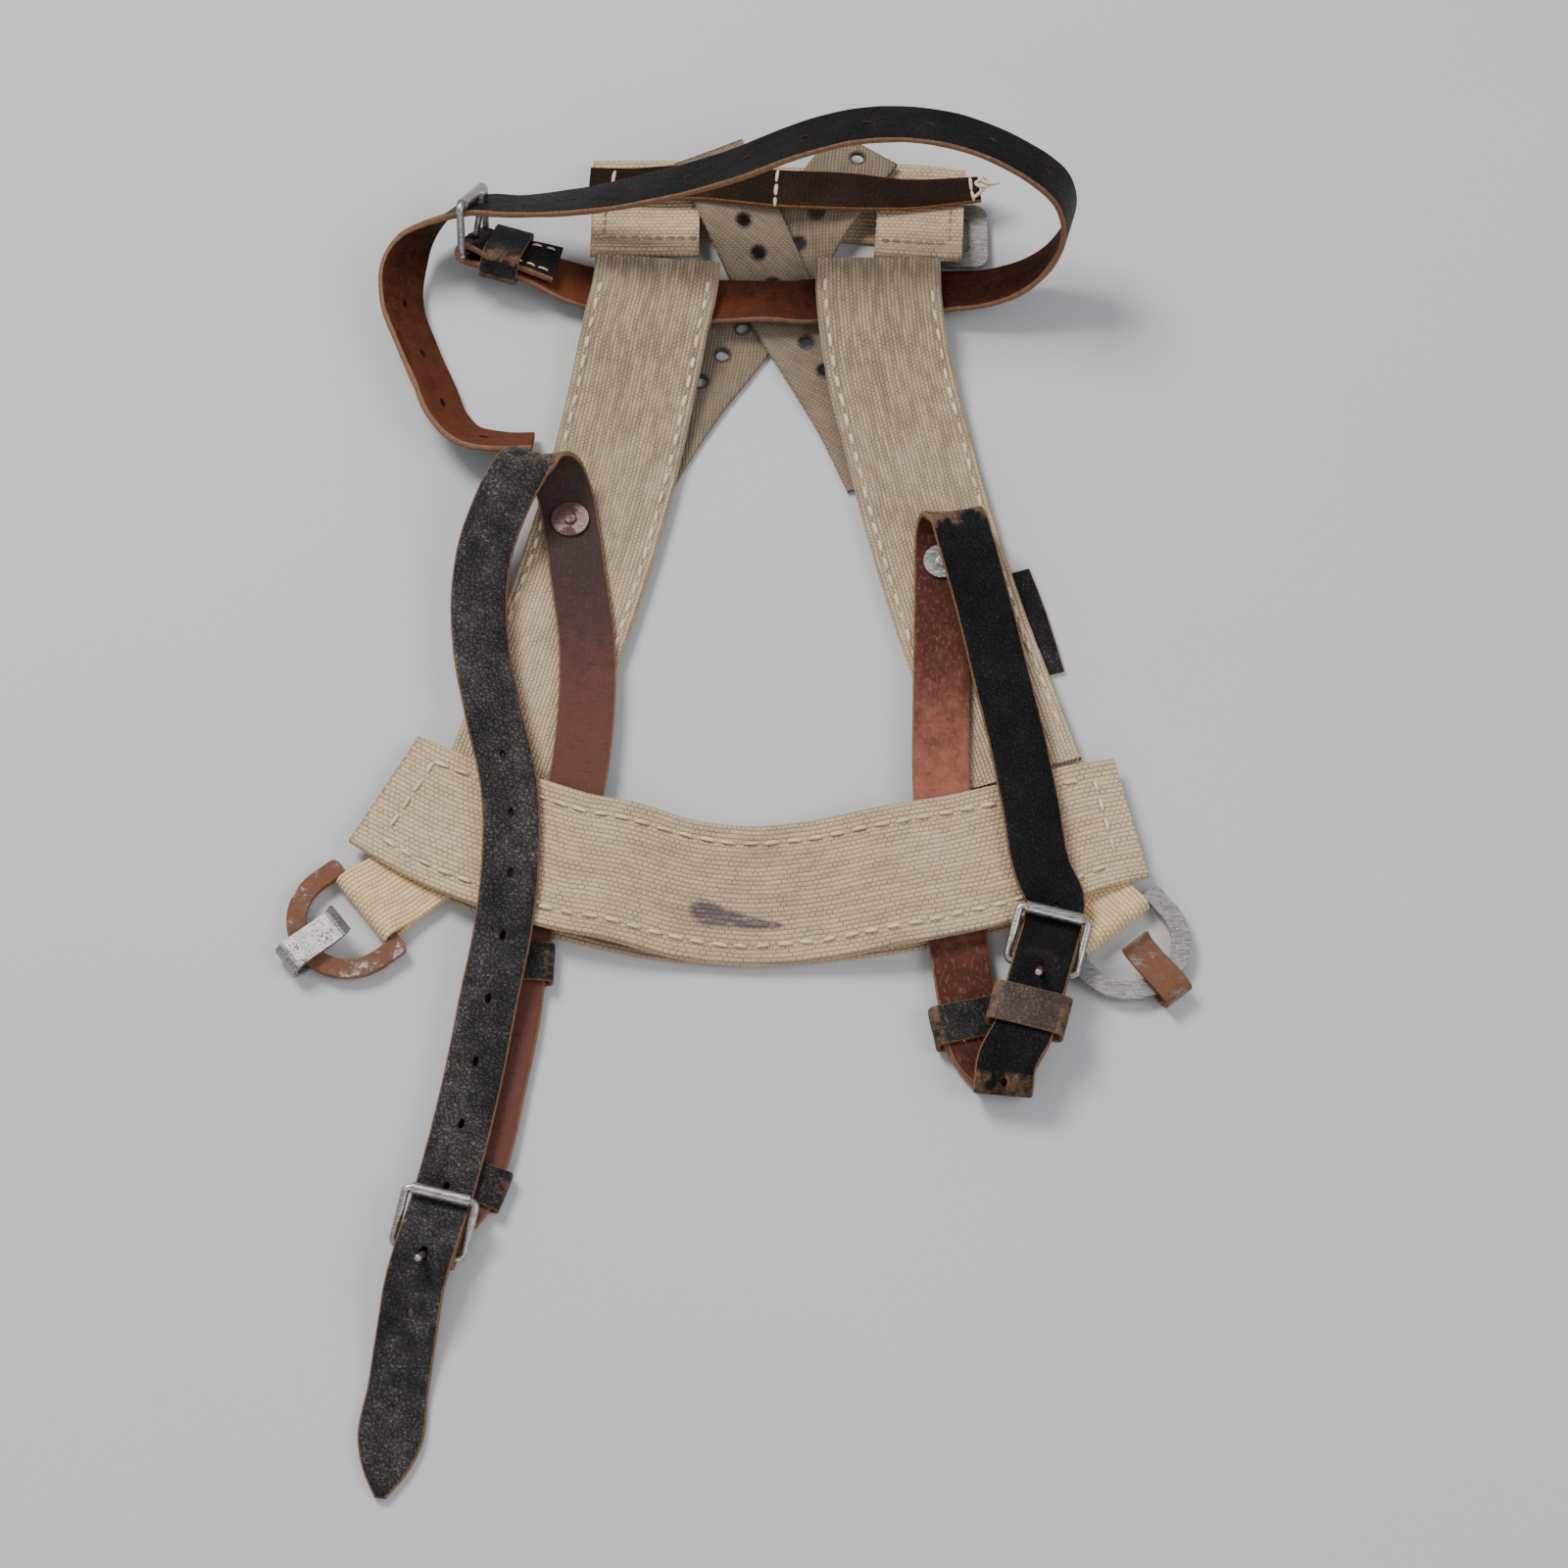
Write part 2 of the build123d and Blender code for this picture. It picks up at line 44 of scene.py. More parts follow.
# ---- camera, floor and light ----
camera_data = bpy.data.cameras.new("camera")
camera_data.lens = 89.0
camera_data.sensor_width = 36.0
camera = bpy.data.objects.new("camera", camera_data)
camera.location = Vector((0.01537, -0.56954, 1.22352)) + SHIFT
camera.rotation_euler = (math.radians(25), 0, 0)
bpy.context.scene.collection.objects.link(camera)
bpy.context.scene.camera = camera


def new_object(name, mesh):
    item = bpy.data.objects.new(name, mesh)
    bpy.context.scene.collection.objects.link(item)
    return item


def area_light(name, place, target, size, power, colour):
    data = bpy.data.lights.new(name, "AREA")
    data.shape = "DISK"
    data.size = size
    data.energy = power
    data.color = colour
    lamp = new_object(name, data)
    lamp.location = place
    lamp.rotation_euler = (Vector(target) - Vector(place)).to_track_quat("-Z", "Y").to_euler()


area_light("key_light", (-0.75, 0.85, 1.35), (0, 0, 0), 0.7, 26, (1.0, 0.985, 0.96))
area_light("fill_light", (1.1, -0.35, 1.2), (0, 0, 0), 0.9, 8, (0.96, 0.98, 1.0))
area_light("front_light", (-0.2, -1.3, 1.0), (0, 0, 0), 0.8, 4, (1, 1, 1))
world = bpy.data.worlds.new("world")
world.use_nodes = True
world.node_tree.nodes["Background"].inputs["Color"].default_value = (0.9, 0.93, 1.0, 1)
world.node_tree.nodes["Background"].inputs["Strength"].default_value = 0.38
bpy.context.scene.world = world


# ---- materials ----
class Paint:
    """A procedural material, built node by node; every value may be a number or a socket."""

    def __init__(self, name):
        self.material = bpy.data.materials.new(name)
        self.material.use_nodes = True
        self.tree = self.material.node_tree
        self.shader = self.tree.nodes["Principled BSDF"]

    def node(self, kind, values, output=0, **settings):
        made = self.tree.nodes.new(kind)
        for key, value in settings.items():
            setattr(made, key, value)
        for key, value in values.items():
            self.feed(made.inputs[key], value)
        return made.outputs[output]

    def feed(self, socket, value):
        if isinstance(value, bpy.types.NodeSocket):
            self.tree.links.new(value, socket)
        else:
            socket.default_value = value

    def math(self, operation, a, b=0.0, clamp=False):
        return self.node("ShaderNodeMath", {0: a, 1: b}, operation=operation, use_clamp=clamp)

    def times(self, a, b):
        return self.math("MULTIPLY", a, b)

    def plus(self, a, b):
        return self.math("ADD", a, b)

    def uv(self, name):
        return self.node("ShaderNodeUVMap", {}, uv_map=name)

    def split(self, vector):
        made = self.tree.nodes.new("ShaderNodeSeparateXYZ")
        self.feed(made.inputs[0], vector)
        return made.outputs[0], made.outputs[1]

    def join(self, x, y, z=0.0):
        return self.node("ShaderNodeCombineXYZ", {0: x, 1: y, 2: z})

    def mix(self, factor, a, b):
        made = self.tree.nodes.new("ShaderNodeMix")
        made.data_type = "RGBA"
        self.feed(made.inputs[0], factor)
        self.feed(made.inputs[6], a if not isinstance(a, tuple) else (*a, 1))
        self.feed(made.inputs[7], b if not isinstance(b, tuple) else (*b, 1))
        return made.outputs[2]

    def step(self, value, low, high):
        """0 below low, 1 above high, smooth between."""
        values = {"Value": value, "From Min": low, "From Max": high}
        return self.node("ShaderNodeMapRange", values, interpolation_type="SMOOTHSTEP")

    def noise(self, vector, scale, detail=3.0, rough=0.55):
        return self.node(
            "ShaderNodeTexNoise",
            {"Vector": vector, "Scale": scale, "Detail": detail, "Roughness": rough},
        )

    def cells(self, vector, scale, feature="F1"):
        return self.node("ShaderNodeTexVoronoi", {"Vector": vector, "Scale": scale}, feature=feature)

    def bump(self, height, distance, strength=1.0, under=None):
        values = {"Height": height, "Distance": distance, "Strength": strength}
        if under is not None:
            values["Normal"] = under
        return self.node("ShaderNodeBump", values)

    def finish(self, colour, roughness, normal, metallic=0.0, specular=0.5):
        self.feed(self.shader.inputs["Base Color"], colour)
        self.feed(self.shader.inputs["Roughness"], roughness)
        self.feed(self.shader.inputs["Normal"], normal)
        self.feed(self.shader.inputs["Metallic"], metallic)
        self.feed(self.shader.inputs["Specular IOR Level"], specular)
        return self.material


def leather(name, grain, worn_and_glint, flesh_dark, flesh_light, edge, wear_and_glint_amount, gloss, specular):
    """Grain on the front face, flesh on the back, raw edges; tone shades the flesh along the strap."""
    p = Paint(name)
    run = p.uv("run")
    side, rim = p.split(p.uv("face"))
    bend, tone = p.split(p.uv("wear"))
    along, across = p.split(run)
    front = p.step(side, 0.42, 0.58)
    broad = p.noise(run, 38.0, 4.0)
    patch = p.noise(run, 150.0, 5.0, 0.65)
    fine = p.noise(run, 1500.0, 3.0, 0.7)
    creases = p.noise(p.join(p.times(along, 900.0), p.times(across, 150.0)), 1.0, 4.0, 0.6)
    fibres = p.noise(p.join(p.times(along, 420.0), p.times(across, 900.0)), 1.0, 5.0, 0.7)
    cells = p.cells(run, 1000.0)
    cracks = p.cells(run, 620.0, "DISTANCE_TO_EDGE")
    crack_shade = p.math("SUBTRACT", 1.0, p.step(cracks, 0.0, 0.10))
    folded = p.times(p.math("ABSOLUTE", p.math("SUBTRACT", bend, 0.5)), 2.0)
    # Lighter specks on the grain: partly real rubbed wear, partly painted glints that stand in for gloss
    # highlights.
    glint_speck = p.step(p.noise(run, 950.0, 4.0, 0.75), 0.52, 0.62)
    rubbed_and_glint = p.times(p.step(broad, 0.30, 0.62), p.step(patch, 0.50 - wear_and_glint_amount * 0.35, 0.75))
    rubbed_and_glint = p.times(rubbed_and_glint, p.math("MAXIMUM", glint_speck, p.times(fine, 0.32)))
    rubbed_and_glint = p.math("MULTIPLY", rubbed_and_glint, p.plus(wear_and_glint_amount, p.times(folded, 0.7)), clamp=True)
    grain_colour = p.mix(p.step(broad, 0.35, 0.7), grain, tuple(c * 1.5 + 0.002 for c in grain))
    grain_colour = p.mix(rubbed_and_glint, grain_colour, worn_and_glint)
    # Painted shade in the crack lines of the grain.
    grain_colour = p.mix(p.times(crack_shade, 0.35), grain_colour, tuple(c * 0.35 for c in grain))
    stretched = p.times(p.step(folded, 0.45, 0.95), p.step(patch, 0.40, 0.62))
    grain_colour = p.mix(p.times(stretched, 0.55), grain_colour, edge)
    shade = p.plus(tone, p.times(p.math("SUBTRACT", patch, 0.5), 0.9))
    flesh_colour = p.mix(p.step(shade, 0.1, 0.9), flesh_dark, flesh_light)
    pale_fibre = p.times(p.step(fibres, 0.5, 0.75), 0.5)
    crease_shade = p.times(p.step(creases, 0.55, 0.7), 0.45)
    flesh_colour = p.mix(pale_fibre, flesh_colour, tuple(c * 1.6 for c in flesh_light))
    # Painted shade in the creases of the flesh side.
    flesh_colour = p.mix(crease_shade, flesh_colour, tuple(c * 0.4 for c in flesh_dark))
    colour = p.mix(front, flesh_colour, grain_colour)
    raw = p.step(p.plus(rim, p.times(p.math("SUBTRACT", fibres, 0.5), 0.9)), 0.48, 0.78)
    edge_colour = p.mix(fibres, tuple(c * 0.45 for c in edge), tuple(c * 1.25 for c in edge))
    colour = p.mix(p.times(raw, 0.85), colour, edge_colour)
    grain_rough = p.plus(gloss, p.times(p.plus(p.times(patch, 0.5), p.times(rubbed_and_glint, 0.35)), 0.7))
    rough = p.plus(p.times(front, grain_rough), p.times(p.math("SUBTRACT", 1.0, front), 0.78))
    rough = p.math("ADD", rough, p.times(raw, 0.35), clamp=True)
    flat_top = p.math("MINIMUM", p.times(cracks, 8.0), 1.0)
    grain_height = p.plus(p.times(cells, 0.55), p.times(flat_top, 0.8))
    relief = p.plus(p.times(front, grain_height), p.times(fibres, 0.9))
    relief = p.plus(relief, p.times(creases, p.plus(0.25, p.times(folded, 2.2))))
    normal = p.bump(relief, 0.00035, 0.75)
    shine = p.plus(specular * 0.5, p.times(rubbed_and_glint, specular))
    return p.finish(colour, rough, p.bump(broad, 0.0015, 0.35, normal), 0.0, shine)


def webbing(name, smear_and_shade, middle, light, stained, lane, pick, twill=False, depth=0.00055, dashes=0.4):
    """Ribs run along the strip; tone shifts the colour from grey to warm, the wear channel holds stains."""
    p = Paint(name)
    run = p.uv("run")
    side, rim = p.split(p.uv("face"))
    stain, tone = p.split(p.uv("wear"))
    along, across = p.split(run)
    drift = p.times(p.math("SUBTRACT", p.noise(run, 60.0, 2.0), 0.5), 0.8)
    lanes = p.plus(p.times(across, 1 / lane), drift)
    picks = p.plus(p.times(along, 1 / pick), p.times(drift, 1.7))
    if twill:
        lanes = p.plus(lanes, p.times(picks, 0.5))
    number = p.math("FLOOR", lanes)
    picks = p.plus(picks, p.times(number, 0.5))
    rib = p.math("ABSOLUTE", p.math("SINE", p.times(lanes, math.pi)))
    knot = p.math("ABSOLUTE", p.math("SINE", p.times(picks, math.pi)))
    height = p.times(p.math("POWER", rib, 0.6), p.plus(0.5, p.times(knot, 0.5)))
    thread = p.noise(p.join(p.times(number, 3.7), p.times(p.math("FLOOR", picks), 0.13)), 1.0, 1.0)
    fibre = p.noise(p.join(p.times(along, 700.0), p.times(across, 2600.0)), 1.0, 4.0, 0.7)
    blotch = p.noise(run, 42.0, 5.0, 0.62)
    smear = p.noise(p.join(p.times(along, 18.0), p.times(across, 130.0)), 1.0, 4.0, 0.6)
    colour = p.mix(p.step(p.plus(p.times(blotch, 0.7), p.times(tone, 0.6)), 0.32, 0.9), middle, light)
    colour = p.mix(p.times(p.step(thread, 0.38, 0.62), 0.30), colour, tuple(c * 1.35 for c in light))
    colour = p.mix(p.times(p.step(smear, 0.52, 0.74), 0.20), colour, smear_and_shade)
    colour = p.mix(p.times(p.step(fibre, 0.5, 0.8), 0.25), colour, tuple(c * 1.5 for c in middle))
    # Painted shade in the gaps between the ribs; the same dark colour also serves the smears and dashes.
    gap = p.math("SUBTRACT", 1.0, p.step(height, 0.05, 0.55))
    colour = p.mix(p.times(gap, 0.66), colour, tuple(c * 0.45 for c in smear_and_shade))
    between = p.math("SUBTRACT", 1.0, p.step(knot, 0.15, 0.55))
    dash = p.times(between, p.step(p.noise(run, 300.0), 0.38, 0.60))
    colour = p.mix(p.times(dash, dashes), colour, tuple(c * 0.40 for c in smear_and_shade))
    streak = p.noise(p.join(p.times(along, 160.0), p.times(across, 620.0)), 1.0, 3.0, 0.6)
    marked = p.times(p.step(stain, 0.05, 0.5), p.step(streak, 0.24, 0.48))
    colour = p.mix(p.times(marked, 0.85), colour, stained)
    colour = p.mix(p.times(p.step(rim, 0.3, 1.0), 0.4), colour, tuple(c * 0.75 for c in middle))
    ripple = p.noise(run, 260.0, 3.0, 0.6)
    normal = p.bump(p.plus(height, p.times(fibre, 0.35)), depth, 0.9)
    material = p.finish(colour, 0.93, p.bump(ripple, 0.0008, 0.4, normal), 0.0, 0.2)
    p.shader.inputs["Sheen Weight"].default_value = 0.25
    p.shader.inputs["Sheen Roughness"].default_value = 0.6
    return material


def steel(name, bright, dull, rust, rust_amount, polish):
    p = Paint(name)
    place = p.node("ShaderNodeTexCoord", {}, output=3)
    cloud = p.noise(place, 120.0, 5.0, 0.65)
    grit = p.noise(place, 900.0, 4.0, 0.7)
    drawn_out = p.node("ShaderNodeMapping", {"Vector": place, "Scale": (300, 2600, 900)})
    scratch = p.noise(drawn_out, 1.0, 3.0)
    pits = p.step(p.cells(place, 700.0), 0.0, 0.28)
    start = 0.78 - rust_amount * 0.4
    rusty = p.step(p.plus(p.times(cloud, 0.75), p.times(grit, 0.35)), start, start + 0.12)
    colour = p.mix(p.step(scratch, 0.35, 0.68), dull, bright)
    colour = p.mix(p.times(p.math("SUBTRACT", 1.0, pits), 0.6), colour, tuple(c * 0.35 for c in rust))
    rust_colour = p.mix(grit, tuple(c * 0.45 for c in rust), tuple(c * 1.5 for c in rust))
    colour = p.mix(rusty, colour, rust_colour)
    metal = p.math("SUBTRACT", 1.0, p.times(rusty, 0.92))
    rough = p.math("ADD", p.plus(polish, p.times(scratch, 0.25)), p.times(rusty, 0.45), clamp=True)
    marks = p.plus(p.times(pits, 0.5), p.times(scratch, 0.25))
    relief = p.plus(p.times(grit, p.plus(0.25, rusty)), marks)
    return p.finish(colour, rough, p.bump(relief, 0.0003, 0.7), metal, 0.5)


def thread_paint(name, light, dark):
    p = Paint(name)
    place = p.node("ShaderNodeTexCoord", {}, output=3)
    strands = p.noise(place, 2600.0, 3.0, 0.7)
    colour = p.mix(p.step(p.noise(place, 60.0), 0.35, 0.7), light, dark)
    colour = p.mix(p.times(p.step(strands, 0.45, 0.7), 0.5), colour, tuple(c * 0.5 for c in dark))
    return p.finish(colour, 0.9, p.bump(strands, 0.00025, 0.8), 0.0, 0.2)


# The second colour of each leather is its worn specks: partly real wear, partly painted glints.
black_worn = leather("black_worn", (0.011, 0.0095, 0.0085), (0.36, 0.335, 0.315), (0.050, 0.030, 0.026),
                     (0.125, 0.046, 0.033), (0.30, 0.160, 0.090), 0.62, 0.27, 0.42)
black_smooth = leather("black_smooth", (0.0045, 0.0045, 0.005), (0.10, 0.097, 0.094), (0.070, 0.024, 0.016),
                       (0.33, 0.120, 0.082), (0.30, 0.160, 0.090), 0.25, 0.32, 0.22)
black_coat = leather("black_coat", (0.0045, 0.004, 0.0038), (0.085, 0.075, 0.068), (0.030, 0.0085, 0.0045),
                     (0.125, 0.036, 0.017), (0.31, 0.165, 0.095), 0.35, 0.30, 0.20)
brown_tunnel = leather("brown_tunnel", (0.020, 0.0105, 0.0065), (0.12, 0.068, 0.040), (0.12, 0.05, 0.025),
                       (0.25, 0.11, 0.05), (0.36, 0.15, 0.055), 0.40, 0.50, 0.16)
keeper_black = leather("keeper_black", (0.009, 0.008, 0.008), (0.22, 0.20, 0.18), (0.10, 0.05, 0.03),
                       (0.24, 0.12, 0.06), (0.27, 0.13, 0.065), 0.60, 0.34, 0.28)
keeper_brown = leather("keeper_brown", (0.050, 0.034, 0.027), (0.26, 0.20, 0.165), (0.12, 0.06, 0.035),
                       (0.25, 0.13, 0.07), (0.26, 0.14, 0.075), 0.75, 0.40, 0.28)
ink = (0.070, 0.048, 0.066)
leg_weave = webbing("leg_weave", (0.150, 0.106, 0.064), (0.350, 0.250, 0.157), (0.66, 0.49, 0.310),
                    ink, 0.0014, 0.0016, dashes=0.55)
band_weave = webbing("band_weave", (0.195, 0.128, 0.072), (0.43, 0.295, 0.178), (0.68, 0.495, 0.305),
                     ink, 0.0017, 0.0020, dashes=0.55)
cross_weave = webbing("cross_weave", (0.075, 0.053, 0.034), (0.185, 0.132, 0.083), (0.285, 0.210, 0.138),
                      (0.02, 0.016, 0.012), 0.0014, 0.0014, True, 0.0004)
tab_weave = webbing("tab_weave", (0.38, 0.220, 0.090), (0.72, 0.460, 0.215), (0.90, 0.64, 0.33),
                    ink, 0.0016, 0.0016, False, 0.0006)
cream_thread = thread_paint("cream_thread", (0.92, 0.80, 0.60), (0.74, 0.60, 0.40))
tan_thread = thread_paint("tan_thread", (0.60, 0.42, 0.23), (0.34, 0.20, 0.09))
worn_steel = steel("worn_steel", (0.62, 0.60, 0.57), (0.33, 0.31, 0.29), (0.16, 0.075, 0.035), 0.22, 0.24)
ring_steel = steel("ring_steel", (0.52, 0.50, 0.48), (0.30, 0.28, 0.26), (0.17, 0.08, 0.04), 0.45, 0.34)
rusty_steel = steel("rusty_steel", (0.40, 0.32, 0.27), (0.24, 0.16, 0.12), (0.20, 0.085, 0.045), 0.86, 0.38)
washer_steel = steel("washer_steel", (0.32, 0.22, 0.21), (0.16, 0.10, 0.10), (0.12, 0.055, 0.045), 0.60, 0.30)

floor_paint = Paint("floor_paint")
floor_spot = floor_paint.node("ShaderNodeTexCoord", {}, output=3)
floor_cloud = floor_paint.noise(floor_spot, 3.0, 4.0)
floor_grit = floor_paint.noise(floor_spot, 500.0)
floor_colour = floor_paint.mix(floor_cloud, (0.60, 0.60, 0.60), (0.66, 0.66, 0.655))
floor_paint.finish(floor_colour, 0.75, floor_paint.bump(floor_grit, 0.0002, 0.3))
floor_mesh = bpy.data.meshes.new("floor")
floor_half = 4.0
corners = [(x * floor_half, y * floor_half, 0) for x, y in ((-1, -1), (1, -1), (1, 1), (-1, 1))]
floor_mesh.from_pydata(corners, [], [(0, 1, 2, 3)])
floor = new_object("floor", floor_mesh)
floor.data.materials.append(floor_paint.material)

# ---- the strap paths, millimetres, as the solids have them ----
leather_width, leg_width, cross_width = 20.0, 46.0, 28.0
leather_thick, leg_thick, cross_thick, band_ply, back_ply = 2.5, 3.2, 1.8, 2.4, 1.6
Place = namedtuple("Place", "distance at across up along width")


def widen(width, stops):
    return [stop + (width,) for stop in stops]


def fold(centre, outward, upward, heading, lean, width=leather_width, radius=2.95):
    around = []
    for angle in (90, 45, 0, -45, -90):
        out, up = radius * math.cos(math.radians(angle)), radius * math.sin(math.radians(angle))
        place = tuple(c + out * a + up * b for c, a, b in zip(centre, outward, upward))
        around.append(place + (heading, lean, width))
    return around


def slopes(stops, reach):
    rates = []
    for i in range(len(stops)):
        before, after = max(i - 1, 0), min(i + 1, len(stops) - 1)
        back = reach[i] - reach[before] or reach[after] - reach[i]
        ahead = reach[after] - reach[i] or back
        rate = []
        for a, b, c in zip(stops[before], stops[i], stops[after]):
            down = (b - a) / back if before != i else (c - b) / ahead
            up = (c - b) / ahead if after != i else down
            rate.append((down * ahead + up * back) / (ahead + back))
        rates.append(rate)
    return rates


def heading_vector(heading, lean):
    """The direction across a strap, from its heading in the plane and its lean out of it, in degrees."""
    turn_z, tip = math.radians(heading), math.radians(lean)
    return Vector((math.cos(turn_z) * math.cos(tip), math.sin(turn_z) * math.cos(tip), math.sin(tip)))


def walk(stops, spacing=1.5):
    """Places along the smooth curve through the stops, in metres but with distance in millimetres."""
    reach = [0.0]
    for a, b in zip(stops, stops[1:]):
        reach.append(reach[-1] + math.dist(a[:3], b[:3]))
    rates = slopes(stops, reach)
    found = []
    for i in range(len(stops) - 1):
        span = reach[i + 1] - reach[i]
        turn = Vector(rates[i][:3]).angle(Vector(rates[i + 1][:3]))
        count = max(1, round(span / spacing), math.ceil(math.degrees(turn) / 9))
        for k in range(count + (i == len(stops) - 2)):
            t = k / count
            value, along = [], []
            for a, b, ra, rb in zip(stops[i], stops[i + 1], rates[i], rates[i + 1]):
                c2 = 3 * (b - a) - (2 * ra + rb) * span
                c3 = 2 * (a - b) + (ra + rb) * span
                value.append(a + ra * span * t + c2 * t**2 + c3 * t**3)
                along.append((ra * span + 2 * c2 * t + 3 * c3 * t**2) / span)
            along = Vector(along[:3]).normalized()
            across = heading_vector(value[3], value[4])
            across = (across - along * across.dot(along)).normalized()
            spot = Vector(value[:3]) * MM + SHIFT
            found.append(Place(reach[i] + span * t, spot, across, across.cross(along), along, value[5]))
    return found


def at(places, distance):
    """The place at a distance, between its two neighbours."""
    for a, b in zip(places, places[1:]):
        if b.distance >= distance:
            t = max(0.0, (distance - a.distance) / max(b.distance - a.distance, 1e-6))
            return Place(distance, a.at.lerp(b.at, t), a.across.lerp(b.across, t).normalized(),
                         a.up.lerp(b.up, t).normalized(), a.along.lerp(b.along, t).normalized(),
                         a.width + (b.width - a.width) * t)
    return places[-1]


def nearest(places, point, after=0.0):
    spot = Vector(point) * MM + SHIFT
    return min((p for p in places if p.distance >= after), key=lambda p: (p.at - spot).length).distance


# ---- building strips ----
def cross_outline(half_w, half_t, columns, rounding):
    """Points round a strip's section as (across, up, side, rim), in millimetres."""
    flat = half_w - rounding
    points = []
    for side in (1, -1):
        for k in range(columns + 1):
            x = side * (2 * k / columns - 1) * flat
            points.append((x, side * half_t, side, 0.0))
        for angle in (60, 30, 0, -30, -60):
            turn = math.radians(angle)
            corner = (flat + rounding * math.cos(turn)) * side
            points.append((corner, side * half_t * math.sin(turn), side * math.sin(turn), 1.0))
    return points


def curl(places, i):
    """How fast the strip turns towards its up side, per millimetre."""
    a, b = places[max(i - 2, 0)], places[min(i + 2, len(places) - 1)]
    run = max(b.distance - a.distance, 1e-6)
    return (b.along - a.along).dot(places[i].up) / run


def strip(name, places, thickness, paint, front=1, columns=16, rounding=0.9, relief=None, tone=None,
          stain=None, closed=False, body="carrier", stands_for=(), cutters=(), slack=0.12):
    """A closed strip along the places, with its run, face and wear in UV maps."""
    verts, faces, run, face, wear = [], [], [], [], []
    for i, place in enumerate(places):
        outline = cross_outline(place.width / 2, thickness / 2, columns, rounding)
        bend = 0.5 + max(-0.5, min(0.5, curl(places, i) * 4.0)) * -front
        shade = tone(place.distance) if tone else 0.5
        for x, y, side, rim in outline:
            lift = y
            if relief:
                lift += relief(place.distance, x, place.width / 2) * (1 if side > 0 else -1) * abs(side)
            rough = noise.noise(Vector((place.distance * 0.11, x * 0.25, len(name))))
            fuzz = noise.noise(Vector((place.distance * 0.8, side, len(name) + 9.0))) * 0.18 * rim
            wide = x + math.copysign(fuzz, x)
            spot = place.at + place.across * wide * MM + place.up * (lift + rough * slack) * MM
            verts.append(spot)
            run.append((place.distance * MM, x * MM))
            face.append((0.5 + 0.5 * side * front, rim))
            wear.append((stain(place.distance, x) if stain else bend, shade))
    size = len(cross_outline(1, 1, columns, 0.5))
    rows = len(places)
    for i in range(rows if closed else rows - 1):
        j = (i + 1) % rows
        for k in range(size):
            n = (k + 1) % size
            faces.append((i * size + k, i * size + n, j * size + n, j * size + k))
    if not closed:
        for base, flip in ((0, True), ((rows - 1) * size, False)):
            ends = [base + k for k in range(size)]
            top, side_a = ends[:columns + 1], ends[columns + 1:columns + 6]
            low, side_b = ends[columns + 6:2 * columns + 7], ends[2 * columns + 7:]
            for k in range(columns):
                quad = (top[k], top[k + 1], low[columns - k - 1], low[columns - k])
                faces.append(quad if flip else quad[::-1])
            for cap in ([top[-1], *side_a, low[0]], [low[-1], *side_b, top[0]]):
                faces.append(tuple(cap) if flip else tuple(cap[::-1]))
    mesh = bpy.data.meshes.new(name)
    mesh.from_pydata([tuple(v) for v in verts], [], faces)
    for layer_name, data in (("run", run), ("face", face), ("wear", wear)):
        layer = mesh.uv_layers.new(name=layer_name)
        wrap = layer_name == "run" and closed
        total = places[-1].distance * MM
        for polygon in mesh.polygons:
            late = wrap and any(v >= (rows - 1) * size for v in polygon.vertices)
            for loop in polygon.loop_indices:
                vertex = mesh.loops[loop].vertex_index
                value = data[vertex]
                if late and vertex < size:
                    value = (value[0] + total, value[1])
                layer.data[loop].uv = value
    mesh.validate()
    flip_if_inside_out(mesh)
    item = new_object(name, mesh)
    item.data.materials.append(paint)
    if cutters:
        punch(item, cutters)
    for polygon in item.data.polygons:
        polygon.use_smooth = True
    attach(item, body)
    if stands_for:
        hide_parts(*stands_for)
    return item


def flip_if_inside_out(mesh):
    volume = 0.0
    mesh.calc_loop_triangles()
    for triangle in mesh.loop_triangles:
        a, b, c = (mesh.vertices[v].co for v in triangle.vertices)
        volume += a.dot(b.cross(c))
    if volume < 0:
        mesh.flip_normals()


def rod(start, end, radius, sides=14, stretch=None):
    """A plain cylinder that punches a hole; stretch, a direction and a factor, makes it oval."""
    axis = (end - start).normalized()
    u, long_radius = axis.orthogonal().normalized(), radius
    if stretch:
        u = (stretch[0] - axis * stretch[0].dot(axis)).normalized()
        long_radius = radius * stretch[1]
    w = axis.cross(u)
    verts, faces = [], []
    for centre in (start, end):
        for k in range(sides):
            a = 2 * math.pi * k / sides
            verts.append(centre + u * math.cos(a) * long_radius + w * math.sin(a) * radius)
    for k in range(sides):
        n = (k + 1) % sides
        faces.append((k, n, sides + n, sides + k))
    faces.append(tuple(range(sides))[::-1])
    faces.append(tuple(range(sides, 2 * sides)))
    return verts, faces


def punch(item, cutters):
    verts, faces = [], []
    for some_verts, some_faces in cutters:
        base = len(verts)
        verts += some_verts
        faces += [tuple(base + v for v in f) for f in some_faces]
    mesh = bpy.data.meshes.new("punches")
    mesh.from_pydata([tuple(v) for v in verts], [], faces)
    for layer_name in ("run", "face", "wear"):
        mesh.uv_layers.new(name=layer_name)
    tool = new_object("punches", mesh)
    cut = item.modifiers.new("cut", "BOOLEAN")
    cut.operation = "DIFFERENCE"
    cut.solver = "EXACT"
    cut.object = tool
    bpy.context.view_layer.update()
    made = bpy.data.meshes.new_from_object(item.evaluated_get(bpy.context.evaluated_depsgraph_get()))
    item.modifiers.clear()
    item.data = made
    bpy.data.objects.remove(tool)


def hole(places, distance, across=0.0, radius=1.7, stretch=1.0, depth=4.0):
    p = at(places, distance)
    centre = p.at + p.across * across * MM
    half = p.up * depth * MM
    return rod(centre - half, centre + half, radius * MM, stretch=(p.along, stretch))


